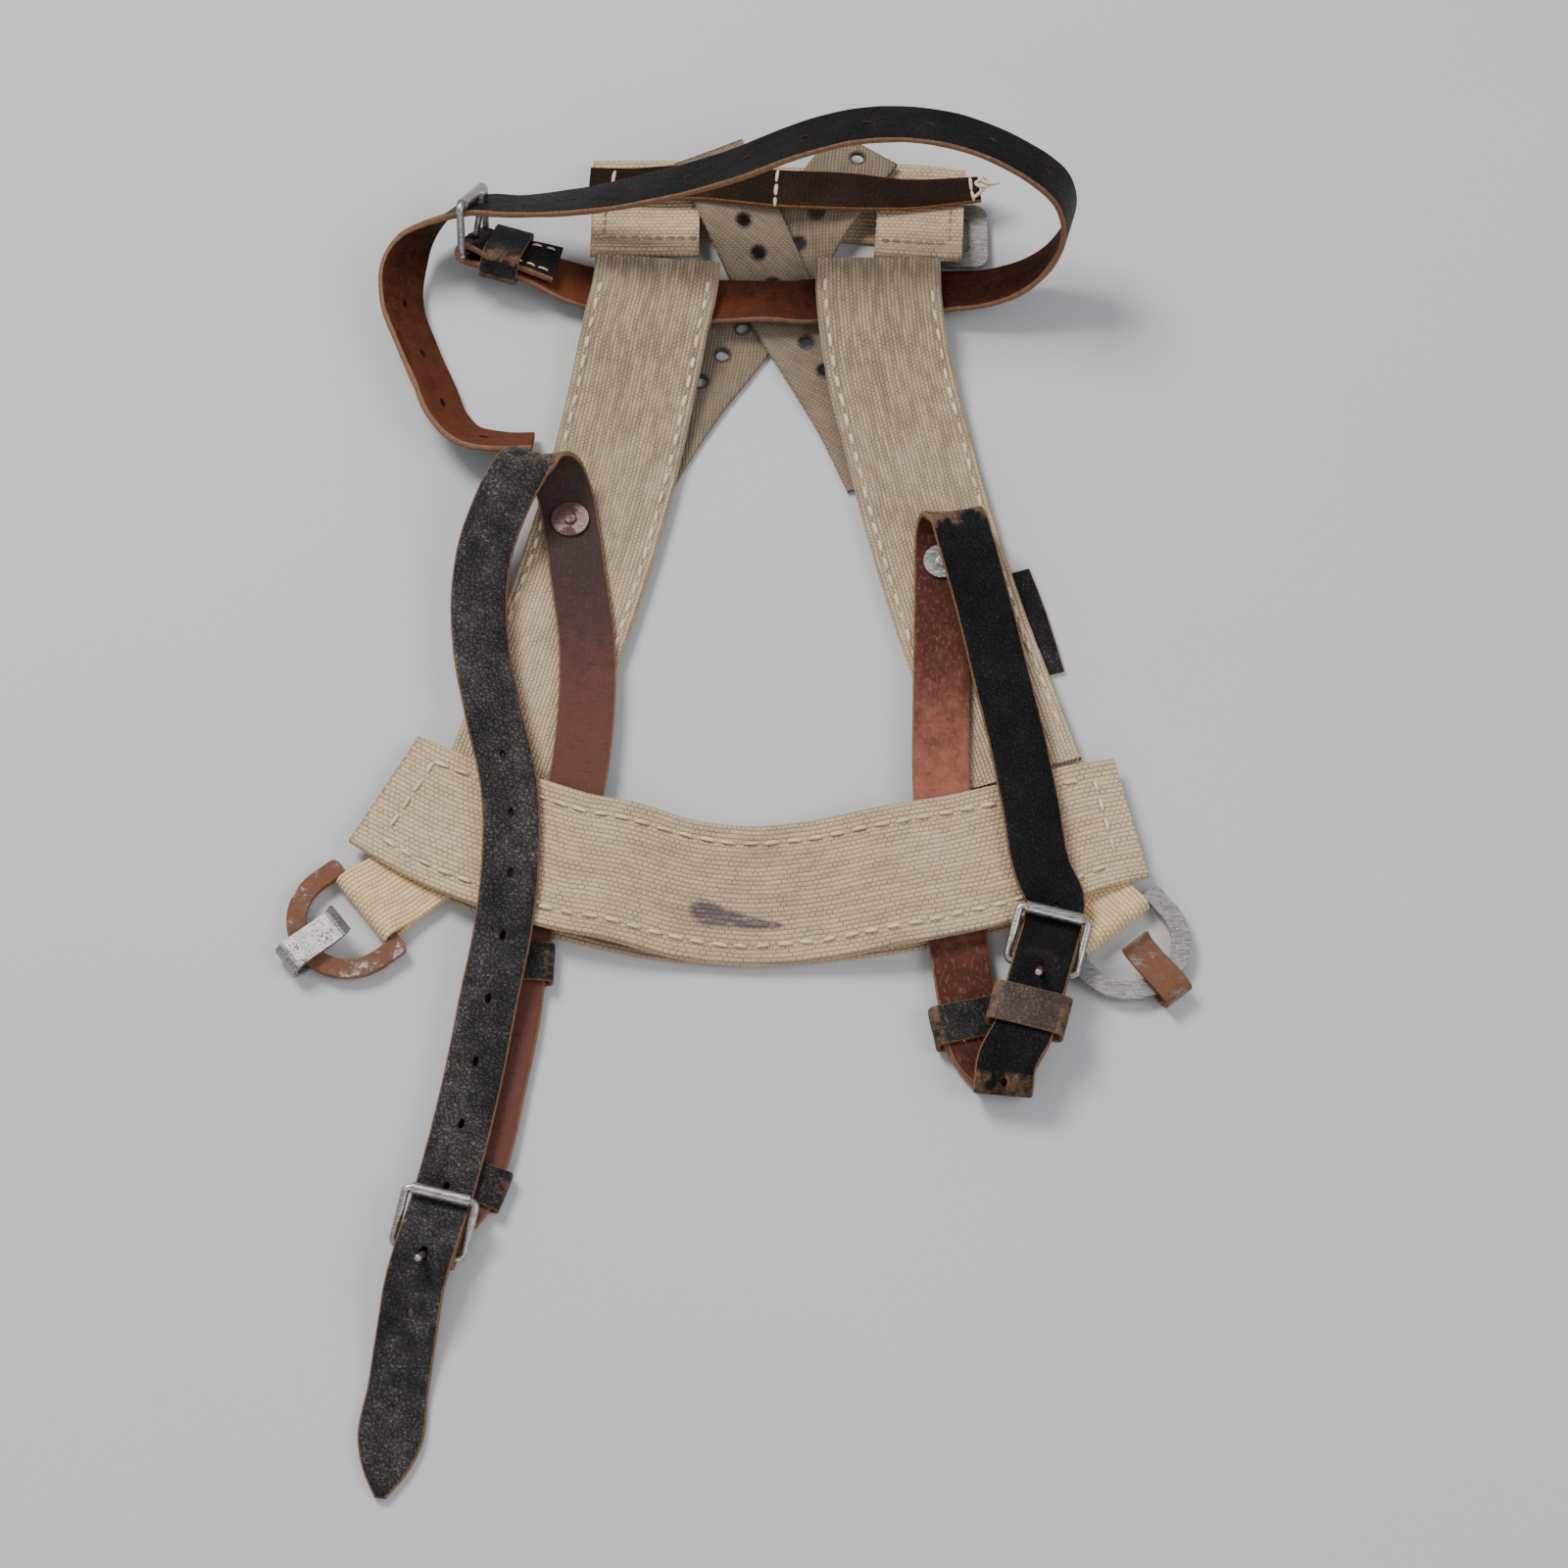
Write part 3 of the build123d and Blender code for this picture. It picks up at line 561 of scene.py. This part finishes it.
# ---- stitching ----
def line_on(places, corners, lift, step=0.5):
    """Points on a strip's surface along straight runs between (distance, across) corners."""
    points = []
    for (d0, x0), (d1, x1) in zip(corners, corners[1:]):
        count = max(1, round(math.hypot(d1 - d0, x1 - x0) / step))
        for k in range(count + 1):
            t = k / count
            p = at(places, d0 + (d1 - d0) * t)
            x = x0 + (x1 - x0) * t
            wander = noise.noise(Vector((p.distance * 0.06, x0, 3.0))) * 0.35
            spot = p.at + p.across * (x + wander) * MM + p.up * lift * MM
            points.append((spot, p.up * math.copysign(1, lift)))
    return points


def stitches(name, lines, paint=None, pitch=7.6, gap=2.7, radius=0.62, body="carrier"):
    """Thread dashes that rise from the cloth and dip back into it, one mesh for all the lines."""
    verts, faces = [], []
    sides, steps = 7, 9
    for points in lines:
        reach = [0.0]
        for (a, _), (b, _) in zip(points, points[1:]):
            reach.append(reach[-1] + (b - a).length / MM)

        def spot(distance):
            for i in range(len(reach) - 1):
                if reach[i + 1] >= distance:
                    t = (distance - reach[i]) / max(reach[i + 1] - reach[i], 1e-6)
                    return points[i][0].lerp(points[i + 1][0], t), points[i][1]
            return points[-1]

        start = 0.4
        while start + pitch * 0.5 < reach[-1]:
            length = (pitch - gap) * rng.uniform(0.86, 1.08)
            length = min(length, reach[-1] - start)
            skew = rng.uniform(-0.25, 0.25)
            thick = radius * rng.uniform(0.85, 1.15)
            base = len(verts)
            for i in range(steps):
                t = i / (steps - 1)
                here, up = spot(start + length * t)
                ahead, _ = spot(start + length * t + 0.6)
                behind, _ = spot(max(0.0, start + length * t - 0.6))
                along = (ahead - behind).normalized()
                aside = along.cross(up).normalized()
                rise = (math.sin(math.pi * min(1, max(0, t))) ** 0.55) * 0.62 - 0.42
                girth = thick * (0.62 + 0.38 * math.sin(math.pi * t))
                centre = here + up * rise * MM + aside * skew * (t - 0.5) * 2 * MM * 0.8
                for k in range(sides):
                    a = 2 * math.pi * k / sides
                    rim = aside * math.cos(a) * 1.15 + up * math.sin(a) * 0.9
                    verts.append(centre + rim * girth * MM)
            for i in range(steps - 1):
                for k in range(sides):
                    n = (k + 1) % sides
                    faces.append((base + i * sides + k, base + i * sides + n,
                                  base + (i + 1) * sides + n, base + (i + 1) * sides + k))
            faces.append(tuple(base + k for k in range(sides))[::-1])
            faces.append(tuple(base + (steps - 1) * sides + k for k in range(sides)))
            start += pitch * rng.uniform(0.94, 1.05)
    mesh = bpy.data.meshes.new(name)
    mesh.from_pydata([tuple(v) for v in verts], [], faces)
    for polygon in mesh.polygons:
        polygon.use_smooth = True
    item = new_object(name, mesh)
    item.data.materials.append(paint or cream_thread)
    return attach(item, body)


def thread(name, points, radius, paint, body="carrier"):
    """A loose thread or knot as a round curve turned into a mesh."""
    curve = bpy.data.curves.new(name, "CURVE")
    curve.dimensions = "3D"
    curve.bevel_depth = radius * MM
    curve.bevel_resolution = 3
    curve.use_fill_caps = True
    line = curve.splines.new("NURBS")
    line.points.add(len(points) - 1)
    for target, point in zip(line.points, points):
        target.co = (*(Vector(point) * MM + SHIFT), 1)
    line.order_u = 3
    line.use_endpoint_u = True
    loose = new_object(name, curve)
    bpy.context.view_layer.update()
    mesh = bpy.data.meshes.new_from_object(loose.evaluated_get(bpy.context.evaluated_depsgraph_get()))
    bpy.data.objects.remove(loose)
    mesh.materials.clear()
    mesh.materials.append(paint)
    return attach(new_object(name, mesh), body)


def groove(inset, depth=0.35, wide=0.9, roll=0.0, wave=0.3):
    """Surface shape of webbing: pressed in along the stitching, rolled at the edges, never quite flat."""
    def shape(distance, x, half):
        seam = math.exp(-(((half - abs(x)) - inset) / wide) ** 2)
        edge = math.exp(-(((half - abs(x)) - 1.8) / 1.6) ** 2)
        swell = noise.noise(Vector((distance * 0.045, x * 0.06, half)))
        return -depth * seam + roll * edge + wave * swell
    return shape


def dents(strength, pitch):
    """Cross wrinkles of old leather."""
    def shape(distance, x, half):
        return strength * noise.noise(Vector((distance / pitch, x * 0.05, half)))
    return shape


# ---- webbing legs and cross straps ----
left_leg = walk(widen(leg_width, [
    (-80, 0, 3.9, -17, 0), (-74, 20, 3.9, -17, 0), (-63, 58, 3.9, -17, 0), (-52, 98, 3.9, -16, 0),
    (-44, 134, 4.4, -14, 0), (-39, 160, 7.0, -11, 0), (-35, 181, 11.4, -8, 0), (-32, 196, 12.6, -4, 0),
    (-31, 208, 12.4, 0, 0),
]))
right_leg = walk(widen(leg_width, [
    (97, 2, 3.9, 19, 0), (90, 24, 3.9, 18, 0), (78, 62, 3.9, 17, 0), (67, 104, 3.9, 14, 0),
    (59, 140, 4.5, 11, 0), (54, 162, 7.4, 9, 0), (51, 182, 11.6, 6, 0), (50, 196, 12.6, 2, 0),
    (50, 208, 12.4, 0, 0),
]))
slash_cross = walk([
    (-52, 60, 1.2, -16, 0, 18), (-44, 97, 1.2, -18, 0, 20), (-35, 128, 1.2, -26, 0, 28),
    (-20, 155, 1.2, -33, 0, 28), (-3, 180, 1.2, -31, 0, 28), (10, 202, 1.2, -27, 0, 28),
    (15, 211, 1.5, -27, 0, 28), (20, 219, 3.4, -28, 0, 28), (26, 229, 7.4, -30, 0, 28),
    (33, 239, 10.2, -33, 0, 28), (46, 259, 9.4, -34, 0, 28),
])
backslash_cross = walk(widen(cross_width, [
    (51, 122, 1.2, 20, 0), (41, 146, 1.2, 23, 0), (29, 168, 3.2, 26, 0), (19, 186, 3.4, 26, 0),
    (11, 203, 3.7, 24, 0), (7, 212, 5.8, 23, 0), (2, 223, 9.3, 22, 0), (-3, 234, 11.4, 24, 0),
    (-13, 257, 9.4, 24, 0),
]))
leg_relief = groove(3.4, 0.35, 0.8, 0.12, 0.35)
for side, leg in (("left", left_leg), ("right", right_leg)):
    end = leg[-1].distance
    # Painted shade: the legs grow darker towards their upper ends, near the fold under the top band.
    strip(f"{side}_leg", leg, leg_thick, leg_weave, columns=22, relief=leg_relief,
          tone=lambda d, end=end: 0.9 - 1.1 * d / end, stain=lambda d, x: 0.0,
          stands_for=(f"{side}_leg_webbing",))
    rows = [line_on(leg, [(14, x), (end - 9, x)], 1.85) for x in (-19.6, 19.6)]
    stitches(f"{side}_leg_stitches", rows)


def eyelets(places, spread, count):
    """Hole distances from the strap's upper end, and a stain round each hole."""
    length = places[-1].distance
    holes = [length - 6 - k * spread for k in range(count)]
    def halo(distance, x):
        near = min(math.hypot(distance - h, x) for h in holes)
        return max(0.0, 1 - max(0.0, near - 2.0) / 2.2) * 0.75
    return holes, halo


for name, path, count in (("slash_cross", slash_cross, 10), ("backslash_cross", backslash_cross, 9)):
    holes, halo = eyelets(path, 13.7, count)
    strip(name, path, cross_thick, cross_weave, columns=26, rounding=0.6,
          relief=groove(2.2, 0.15, 0.9, 0.25, 0.3), tone=lambda d: 0.45, stain=halo,
          cutters=[hole(path, h, radius=2.45) for h in holes], stands_for=(f"{name}_strap",))


# ---- bands ----
def inset_line(places, d0, d1, side, inset, lift):
    """Points along a strip at a fixed distance from one of its edges."""
    points = []
    count = max(2, round(abs(d1 - d0) / 0.5))
    for k in range(count + 1):
        p = at(places, d0 + (d1 - d0) * k / count)
        x = side * (p.width / 2 - inset) + noise.noise(Vector((p.distance * 0.05, side, 5.0))) * 0.6
        points.append((p.at + p.across * x * MM + p.up * lift * MM, p.up * math.copysign(1, lift)))
    return points


front_band = walk([
    (-123, -4, 6.6, 64, 0, 46), (-107, -13, 7.4, 68, 0, 49), (-92, -20, 8.2, 71, 0, 51),
    (-75, -27, 9.8, 74, 0, 52), (-57, -33, 10.2, 77, 0, 52), (-42, -36, 10.2, 80, 0, 52),
    (-18, -41, 4.8, 86, 0, 52), (2, -43, 3.6, 90, 0, 52), (23, -42, 4.8, 94, 0, 52),
    (53, -38, 10.2, 99, 0, 52),
    (82, -32, 10.2, 104, 0, 51), (100, -26, 8.1, 107, 0, 50), (118, -19, 7.2, 109, 0, 48),
    (135, -15, 6.6, 110, 0, 46),
])
back_band = walk([
    (-114, -9, 1.1, 66, 0, 44), (-92, -20, 1.1, 71, 0, 49), (-57, -33, 1.1, 77, 0, 50),
    (-15, -42, 1.1, 86, 0, 50), (20, -42, 1.1, 94, 0, 50), (53, -38, 1.1, 99, 0, 50),
    (100, -26, 1.1, 107, 0, 48), (125, -17, 1.1, 109, 0, 42),
])
smudge_a, smudge_b = nearest(front_band, (-10, -41, 4)), nearest(front_band, (12, -43, 4))


def smudge(distance, x):
    """A faded ink mark low on the band's front."""
    t = (distance - smudge_a) / (smudge_b - smudge_a)
    if not -0.35 < t < 1.35:
        return 0.0
    middle = -8.0 - 4.0 * t
    thick = 6.4 - 5.0 * t
    return max(0.0, 1 - abs(x - middle) / max(thick, 0.8)) * min(1.0, (1.35 - t) * 3, (t + 0.35) * 3)


band_end = front_band[-1].distance
strip("bottom_band", front_band, band_ply, band_weave, -1, 30, 1.15,
      relief=groove(7.0, 0.55, 1.1, 0.35, 0.4), tone=lambda d: 0.3 + 0.5 * abs(2 * d / band_end - 1),
      stain=smudge, stands_for=("bottom_band_front",))
strip("bottom_band_lining", back_band, back_ply, band_weave, -1, 30, 0.7, slack=0.05,
      relief=groove(5.0, 0.1, 1.0, 0.0, 0.1), tone=lambda d: 0.5, stain=lambda d, x: 0.0,
      stands_for=("bottom_band_back",))
lift = -1.6
band_rows = [inset_line(front_band, 10, band_end - 9, side, 7.0, lift) for side in (1, -1)]
for d in (10, band_end - 9):
    edge = at(front_band, d).width / 2 - 7.0
    band_rows.append(line_on(front_band, [(d, edge), (d, -edge)], lift))
stitches("bottom_band_stitches", band_rows)
stitches("bottom_band_lining_stitches",
         [inset_line(back_band, 8, back_band[-1].distance - 8, side, 6.0, 0.85) for side in (1, -1)])

left_top = walk([(-56, 233, 8.5, 90, -8, 46), (-36, 233, 8.6, 90, -8, 46), (-16, 233, 8.5, 90, -8, 46)])
right_top = walk([(50, 232, 8.5, 90, -8, 46), (65, 231, 8.6, 90, -8, 46), (82, 230, 8.5, 90, -8, 44)])
back_top = walk([(-55, 239, 1.1, 90, 0, 32), (14, 240, 1.1, 90, 0, 32), (81, 236, 1.1, 90, 0, 32)])


def hemmed(distance, x, half):
    """The thick folded hem along the lower edge, with a pressed line above it."""
    hem = math.exp(-((x + half - 3.0) / 2.6) ** 2)
    press = math.exp(-((x + half - 7.4) / 0.9) ** 2)
    return 1.1 * hem - 0.7 * press + 0.3 * noise.noise(Vector((distance * 0.06, x * 0.08, half)))


for side, path in (("left", left_top), ("right", right_top)):
    strip(f"top_band_{side}_front", path, band_ply, band_weave, -1, 30, 1.15, relief=hemmed,
          tone=lambda d: 0.5, stain=lambda d, x: 0.0, stands_for=(f"top_band_{side}",))
strip("top_band_lining", back_top, back_ply, band_weave, -1, 20, 0.7, slack=0.05,
      tone=lambda d: 0.35, stain=lambda d, x: 0.0, stands_for=("top_band_back",))
hem_row = 7.6
stitches("top_band_stitches", [
    inset_line(left_top, 6, 39, -1, hem_row, lift), inset_line(right_top, 2, 27, -1, hem_row, lift),
    line_on(left_top, [(5, -14), (5, 6)], lift), line_on(right_top, [(27, -14), (27, 4)], lift),
], tan_thread, 4.2, 1.1, 0.3)

# ---- leather strip that makes the tunnel, and the tab at the back ----
tunnel = walk([
    (-57, 242, 10.6, 90, 0, 15), (-42, 241, 11.6, 90, 0, 15), (-20, 241, 13.9, 90, 0, 15),
    (14, 238, 14.0, 90, 0, 16), (38, 237, 13.8, 90, 0, 16), (62, 237, 11.6, 90, 0, 13),
    (88, 240, 10.6, 90, 0, 11),
])
strip("tunnel_leather", tunnel, 2.0, brown_tunnel, -1, 16, 0.7, relief=dents(0.25, 9.0),
      tone=lambda d: 0.4, stands_for=("tunnel_strip",))
middle = nearest(tunnel, (13, 238, 14))
last = tunnel[-1].distance
tunnel_rows = ((9, 6.2), (middle, 8.2), (last - 3, 5.4))
stitches("tunnel_stitches", [
    line_on(tunnel, [(d, half), (d, -half)], -1.15) for d, half in tunnel_rows
], cream_thread, 6.2, 0.6, 0.62)
thread("tunnel_knot", [
    (86, 235.5, 12.2), (88.5, 237, 13.4), (90.5, 240, 13.6), (89, 242.5, 12.8), (86.4, 241.5, 13.2),
    (87, 239, 14.6), (90, 238.4, 14.2), (92.4, 240.6, 13.0), (91, 243.6, 12.4), (88.2, 243.8, 13.4),
    (89.4, 240.4, 15.0), (92.8, 239.6, 14.2), (95.0, 241.4, 12.8),
], 0.62, cream_thread)
rear_tab = walk(widen(20.0, [(93.5, 82, 1.2, 14, 0), (98.5, 66, 1.2, 15, 0), (104.5, 42, 1.2, 12, 0)]))
strip("rear_tab", rear_tab, 1.8, keeper_black, -1, 14, 0.6, tone=lambda d: 0.5,
      stands_for=("rear_leather_tab",))

# ---- leather straps ----
left_hinge, right_hinge, coat_hinge = (-101.7, -171.2, 6.5), (102.2, -72.4, 11.0), (-99, 215, 11)
left_strap = walk(widen(leather_width, [
    (-98.8, -160.5, 6.8, -14, 0), (-100.4, -166.5, 8.9, -14, 0),
]) + fold(left_hinge, (-0.242, -0.970, 0), (0, 0, 1), -14, 0) + widen(leather_width, [
    (-98, -161, 3.5, -18, 0),
    (-91, -152, 3.5, -20, 0), (-86, -138, 3.5, -18, 0), (-81, -112, 2.9, -10, 0), (-77, -88, 3.0, -6, 0),
    (-75, -68, 3.4, -2, 0), (-72, -50, 3.9, 10, 0), (-65, -30, 5.2, 12, 0), (-57, -5, 7.2, 6, 0),
    (-54, 22, 7.3, 2, 0), (-54, 51, 7.3, 2, 0), (-58, 81, 7.3, 5, 0), (-61, 101, 7.3, 5, 0),
    (-62.2, 108, 7.4, 3, 0), (-64, 114, 10.2, 0, 0), (-67, 119, 15.5, -6, 0), (-71, 120, 20.5, -8, 0),
    (-76, 116, 24, -8, 0), (-81, 108, 23.5, -9, 0), (-86, 98, 19.5, -10, 0), (-90, 87, 15.5, -8, 0),
    (-92, 72, 13, -2, 0),
    (-91, 50, 12, 5, 0), (-86, 24, 12.6, 10, 0), (-79, -8, 13.6, 5, 0), (-78, -36, 13.6, 0, 0),
    (-80, -60, 12.4, -5, 0), (-84, -83, 9.8, -9, 0), (-88, -108, 8.2, -10, 0), (-93, -135, 8.6, -13, 0),
    (-97.3, -153.5, 8.3, -14, 0), (-101.7, -171.2, 12.4, -14, 0), (-105, -184, 10.5, -13, 0),
    (-107, -196, 6.0, -12, 0), (-109.5, -215, 2.2, -10, 0), (-112, -236, 1.9, -9, 0),
]) + [(-113, -244, 1.9, -9, 0, 14), (-114, -252, 1.9, -9, 0, 4)])
right_strap = walk(widen(leather_width, [
    (99.4, -82.6, 9.6, -15, 0), (101, -77, 8.5, -15, 0),
]) + fold(right_hinge, (0.259, 0.966, 0), (0, 0, -1), -15, 0) + widen(leather_width, [
    (99.7, -81, 13.2, -15, 0), (95.5, -96, 12.6, -14, 0),
]) + fold((89, -110, 9.15), (-0.1, -0.995, 0), (0, 0, 1), -6, 0, radius=3.25) + widen(leather_width, [
    (81, -99, 5.9, 8, 0), (77.5, -84, 5.9, 8, 0), (75.5, -68, 4.6, 4, 0), (74, -54, 4.0, 4, 0),
    (71.5, -30, 5.4, 4, 0), (70, -6, 7.2, 2, 0), (70.5, 35, 7.3, 0, 0), (71.3, 66, 7.3, 0, 0),
    (71.6, 84, 7.3, 0, 0), (71.8, 90.5, 7.4, 2, 0), (72.2, 95.5, 10.5, 4, 0), (73.6, 98.5, 16, 7, 0),
    (76.3, 96, 20.8, 8, 0),
    (79.5, 86, 20, 10, 0), (83, 74, 16, 14, 0), (87, 58, 12.6, 15, 0), (91, 38, 11.8, 14, 0),
    (96, 12, 12.8, 12, 0), (100, -14, 14, 11, 0), (103.5, -38, 13.8, 4, 0), (107.8, -50, 12.3, -13, 0),
    (107, -54.6, 11.5, -15, 0),
    (102.4, -72.4, 17.0, -15, 0), (99.9, -81, 15.9, -15, 0), (95.7, -96, 15.6, -14, 0),
]) + fold((89, -110, 9.25), (-0.1, -0.995, 0), (0, 0, 1), -6, 0, radius=6.2) + widen(leather_width, [
    (82.5, -102, 3.1, 8, 0), (77.5, -92, 3.1, 14, 0), (75, -82, 3.1, 14, 0),
]))
coat_strap = walk(widen(leather_width, [
    (-68, 207.5, 9.8, 84, -20), (-80, 210.4, 11.8, 78, -28), (-91, 213.4, 13.0, 72, -34),
]) + fold(coat_hinge, (-0.946, 0.237, -0.183), (0, 0.612, 0.791), 68, -36) + widen(leather_width, [
    (-91, 211.2, 9.2, 72, -34), (-79, 208, 8.4, 78, -26), (-65, 203, 5.9, 84, -15),
    (-48, 198, 5.4, 88, -10),
    (-30, 194.5, 6.0, 90, -10), (-12, 193, 7.5, 90, -9), (8, 192, 9.6, 90, -14), (24, 193, 7.6, 92, -8),
    (40, 196, 7.0, 92, -8), (62, 198, 5.8, 90, -10), (78, 198, 6.8, 88, -14), (92, 198, 9.5, 86, -18),
    (106, 201, 15, 80, -20), (115, 205, 25, 76, -18), (118.5, 209, 38, 76, -16), (115, 213, 51, 78, -16),
    (103, 218, 60.5, 84, -18), (84, 225, 66, 88, -20), (61, 229.5, 67.5, 92, -20),
    (39, 230, 65, 94, -20),
    (19, 227, 60, 96, -22), (0, 223, 53, 96, -24), (-20, 220.5, 46, 94, -26), (-40, 220, 38.5, 90, -28),
    (-61, 221, 31, 86, -32), (-82, 223, 25, 76, -36), (-99, 224.3, 23.0, 68, -36),
    (-110, 221.5, 19.5, 60, -38), (-120, 214, 14.7, 38, -42), (-125, 203, 11.0, 6, -44),
    (-124.5, 190, 9.8, 8, -42), (-119, 174, 9.4, 20, -42), (-111.5, 156, 9.4, 24, -42),
    (-106, 143, 9.6, 34, -42), (-98.5, 135, 9.8, 60, -42), (-87, 132.5, 9.8, 84, -44),
    (-75, 132.5, 9.8, 90, -46),
]))
hole_pitch = 22.5
tongue_hole, hole_stretch = 1.05, 1.8
slot_half, slot_radius = 2.2, 4.7
prong_hole, prong_stretch, prong_start = 1.75, 1.5, 3
rivet_hole = 1.7


def belt(side, path, hinge, bars, reach, lean, length, before, after, front, paint, tone,
         shape, node, rivet=None):
    """A leather strap with its tongue holes, the slot in its folded end and the prong's own hole."""
    bar = Vector(bars).normalized()
    toward = Vector(reach)
    toward = (toward - bar * toward.dot(bar)).normalized()
    tilt = math.radians(lean)
    prong = toward * math.cos(tilt) + bar.cross(toward) * math.sin(tilt)
    centre = Vector(hinge) * MM + SHIFT
    passing = nearest(path, hinge, 100.0)
    rows = [passing + k * hole_pitch for k in range(-before, after + 1) if k]
    cutters = [hole(path, d, rng.uniform(-0.4, 0.4), tongue_hole, hole_stretch)
               for d in rows if 0 < d < path[-1].distance]
    cutters.append(rod(centre - bar * slot_half * MM, centre + bar * slot_half * MM, slot_radius * MM))
    cutters.append(rod(centre + prong * prong_start * MM, centre + prong * length * MM, prong_hole * MM,
                       stretch=(bar.cross(prong), prong_stretch)))
    if rivet:
        cutters.append(hole(path, nearest(path, rivet), radius=rivet_hole))
    strip(f"{side}_belt", path, leather_thick, paint, front, 20, 0.8, relief=shape, tone=tone,
          cutters=cutters, stands_for=(node,))


def fade(path, point, dark_reach):
    start = nearest(path, point)
    return lambda d: min(1.0, max(0.05, abs(d - start) / dark_reach - 0.15)) * 0.9


left_rivet, right_rivet = (-61, 101, 7.3), (71.6, 84, 7.3)
right_fade, band_pass = fade(right_strap, right_rivet, 90), nearest(right_strap, (74, -54, 4))


def right_tone(distance):
    """The flesh side is darkest at the rivet and again below the band."""
    return min(right_fade(distance), max(0.12, 0.45 + (distance - band_pass) / 60))


belt("left", left_strap, left_hinge, (0.970, -0.242, 0), (4.4, 17.65, 5.55), 100, 12, 8, 1, -1,
     black_worn, fade(left_strap, left_rivet, 75), dents(0.28, 7.0),
     "left_side_strap", left_rivet)
belt("right", right_strap, right_hinge, (0.966, -0.259, 0), (4.5, 16.7, 4.2), 106, 12, 2, 2, -1,
     black_smooth, right_tone, dents(0.18, 9.0), "right_side_strap", right_rivet)
belt("coat", coat_strap, coat_hinge, (0.302, 0.754, -0.583), (0, 0.612, 0.791), 12, 19, 11, 5, 1, black_coat,
     lambda d: 0.55 + 0.3 * math.sin(d / 47), dents(0.22, 10.0), "coat_strap")
stitches("coat_belt_stitches", [
    line_on(coat_strap, [(2, x), (24, x)], 1.3) for x in (-6.6, 6.6)
], cream_thread, 5.2, 1.2, 0.4)
turn = nearest(right_strap, (81, -99, 5.9))
stitches("right_belt_stitches", [
    line_on(right_strap, [(turn + 2, -4.0), (turn + 14, -5.0)], 1.3),
    line_on(right_strap, [(turn + 1, 5.0), (turn + 9, 4.4)], 1.3),
], cream_thread, 5.6, 1.4, 0.42)


# ---- leather keepers ----
def keeper(name, centre, heading, lean, along, wide, tall, paint, body="carrier", band=14.0):
    """A soft-cornered loop of leather round a strap."""
    thick = 1.5
    direction = Vector(along).normalized()
    across = heading_vector(heading, lean)
    across = (across - direction * across.dot(direction)).normalized()
    outer = direction.cross(across)
    a, b = (wide + thick) / 2, (tall + thick) / 2
    count, ring = 120, []
    for k in range(count):
        angle = 2 * math.pi * k / count
        c, s = math.cos(angle), math.sin(angle)
        x = a * math.copysign(abs(c) ** 0.34, c)
        y = b * math.copysign(abs(s) ** 0.34, s)
        ring.append(Vector(centre) * MM + SHIFT + (across * x + outer * y) * MM)
    places, run = [], 0.0
    for k, spot in enumerate(ring):
        tangent = (ring[(k + 1) % count] - ring[k - 1]).normalized()
        if k:
            run += (spot - ring[k - 1]).length / MM
        places.append(Place(run, spot, direction, direction.cross(tangent), tangent, band))
    outward = (ring[0] - sum(ring, Vector()) / count).normalized()
    front = 1 if places[0].up.dot(outward) > 0 else -1
    strip(f"{name}_loop", places, thick, paint, front, 10, 0.5,
          relief=dents(0.1, 5.0), tone=lambda d: 0.5, closed=True, body=body, stands_for=(name,), slack=0.1)


keeper("left_buckle_keeper", (-88.6, -146, 3.6), -20, 0, (0.34, 0.94, 0), 22.4, 3.4, keeper_black,
       "left_keeper_body")
keeper("left_stitched_keeper", (-75.2, -68, 3.65), -2, 0, (0.03, 1, 0), 22.0, 3.8, keeper_black)
keeper("right_buckle_keeper", (97.4, -89.5, 14.2), -15, 0, (0.26, 0.966, 0), 24.0, 6.6, keeper_brown,
       "right_keeper_body")
keeper("right_tip_keeper", (78.5, -90, 4.6), 10, 0, (-0.2, 0.98, 0), 24.0, 5.7, keeper_black)
keeper("coat_keeper", (-87, 211.2, 10.9), 75, -31, (0.96, -0.26, -0.08), 22.2, 9.8, keeper_black,
       "coat_keeper_body")


# ---- webbing tabs that hold the rings ----
def tab(side, bar_at, outward):
    out = Vector(outward).normalized()
    heading = math.degrees(math.atan2(-out.x, out.y))
    rows = [(-26, 2.8), (-14, 2.8), (-8.5, 2.75), (-4.5, 1.8), (0, 1.05), (2.09, 1.91), (2.95, 4.0),
            (2.09, 6.09), (0, 6.95), (-3.5, 6.2), (-8, 4.75), (-14, 4.35), (-26, 4.35)]
    stops = [(bar_at[0] + out.x * n, bar_at[1] + out.y * n, z, heading, 0, 28.6) for n, z in rows]
    strip(f"{side}_tab", walk(stops), 1.3, tab_weave, -1, 22, 0.5, tone=lambda d: 0.7,
          stain=lambda d, x: 0.0, stands_for=(f"{side}_ring_tab",), slack=0.2)


tab("left", (-126.7, -47, 4.0), (-0.785, -0.62, 0))
tab("right", (127.3, -53.8, 4.0), (0.627, -0.78, 0))

# ---- metal pieces keep their solids and get their finish ----
finishes = {
    "left_ring": rusty_steel, "left_hook": ring_steel, "right_ring": ring_steel, "right_hook": rusty_steel,
    "left_rivet": washer_steel, "left_rivet_washers": washer_steel, "right_rivet": worn_steel,
    "right_rivet_washers": worn_steel, "rear_ring_plate": ring_steel, "top_stud": worn_steel,
}
for side in ("left", "right", "coat"):
    for piece in ("frame", "roller", "tongue"):
        finishes[f"{side}_buckle_{piece}"] = worn_steel
for node, paint in finishes.items():
    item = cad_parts[node]
    item.data.materials.clear()
    item.data.materials.append(paint)

bpy.context.view_layer.update()
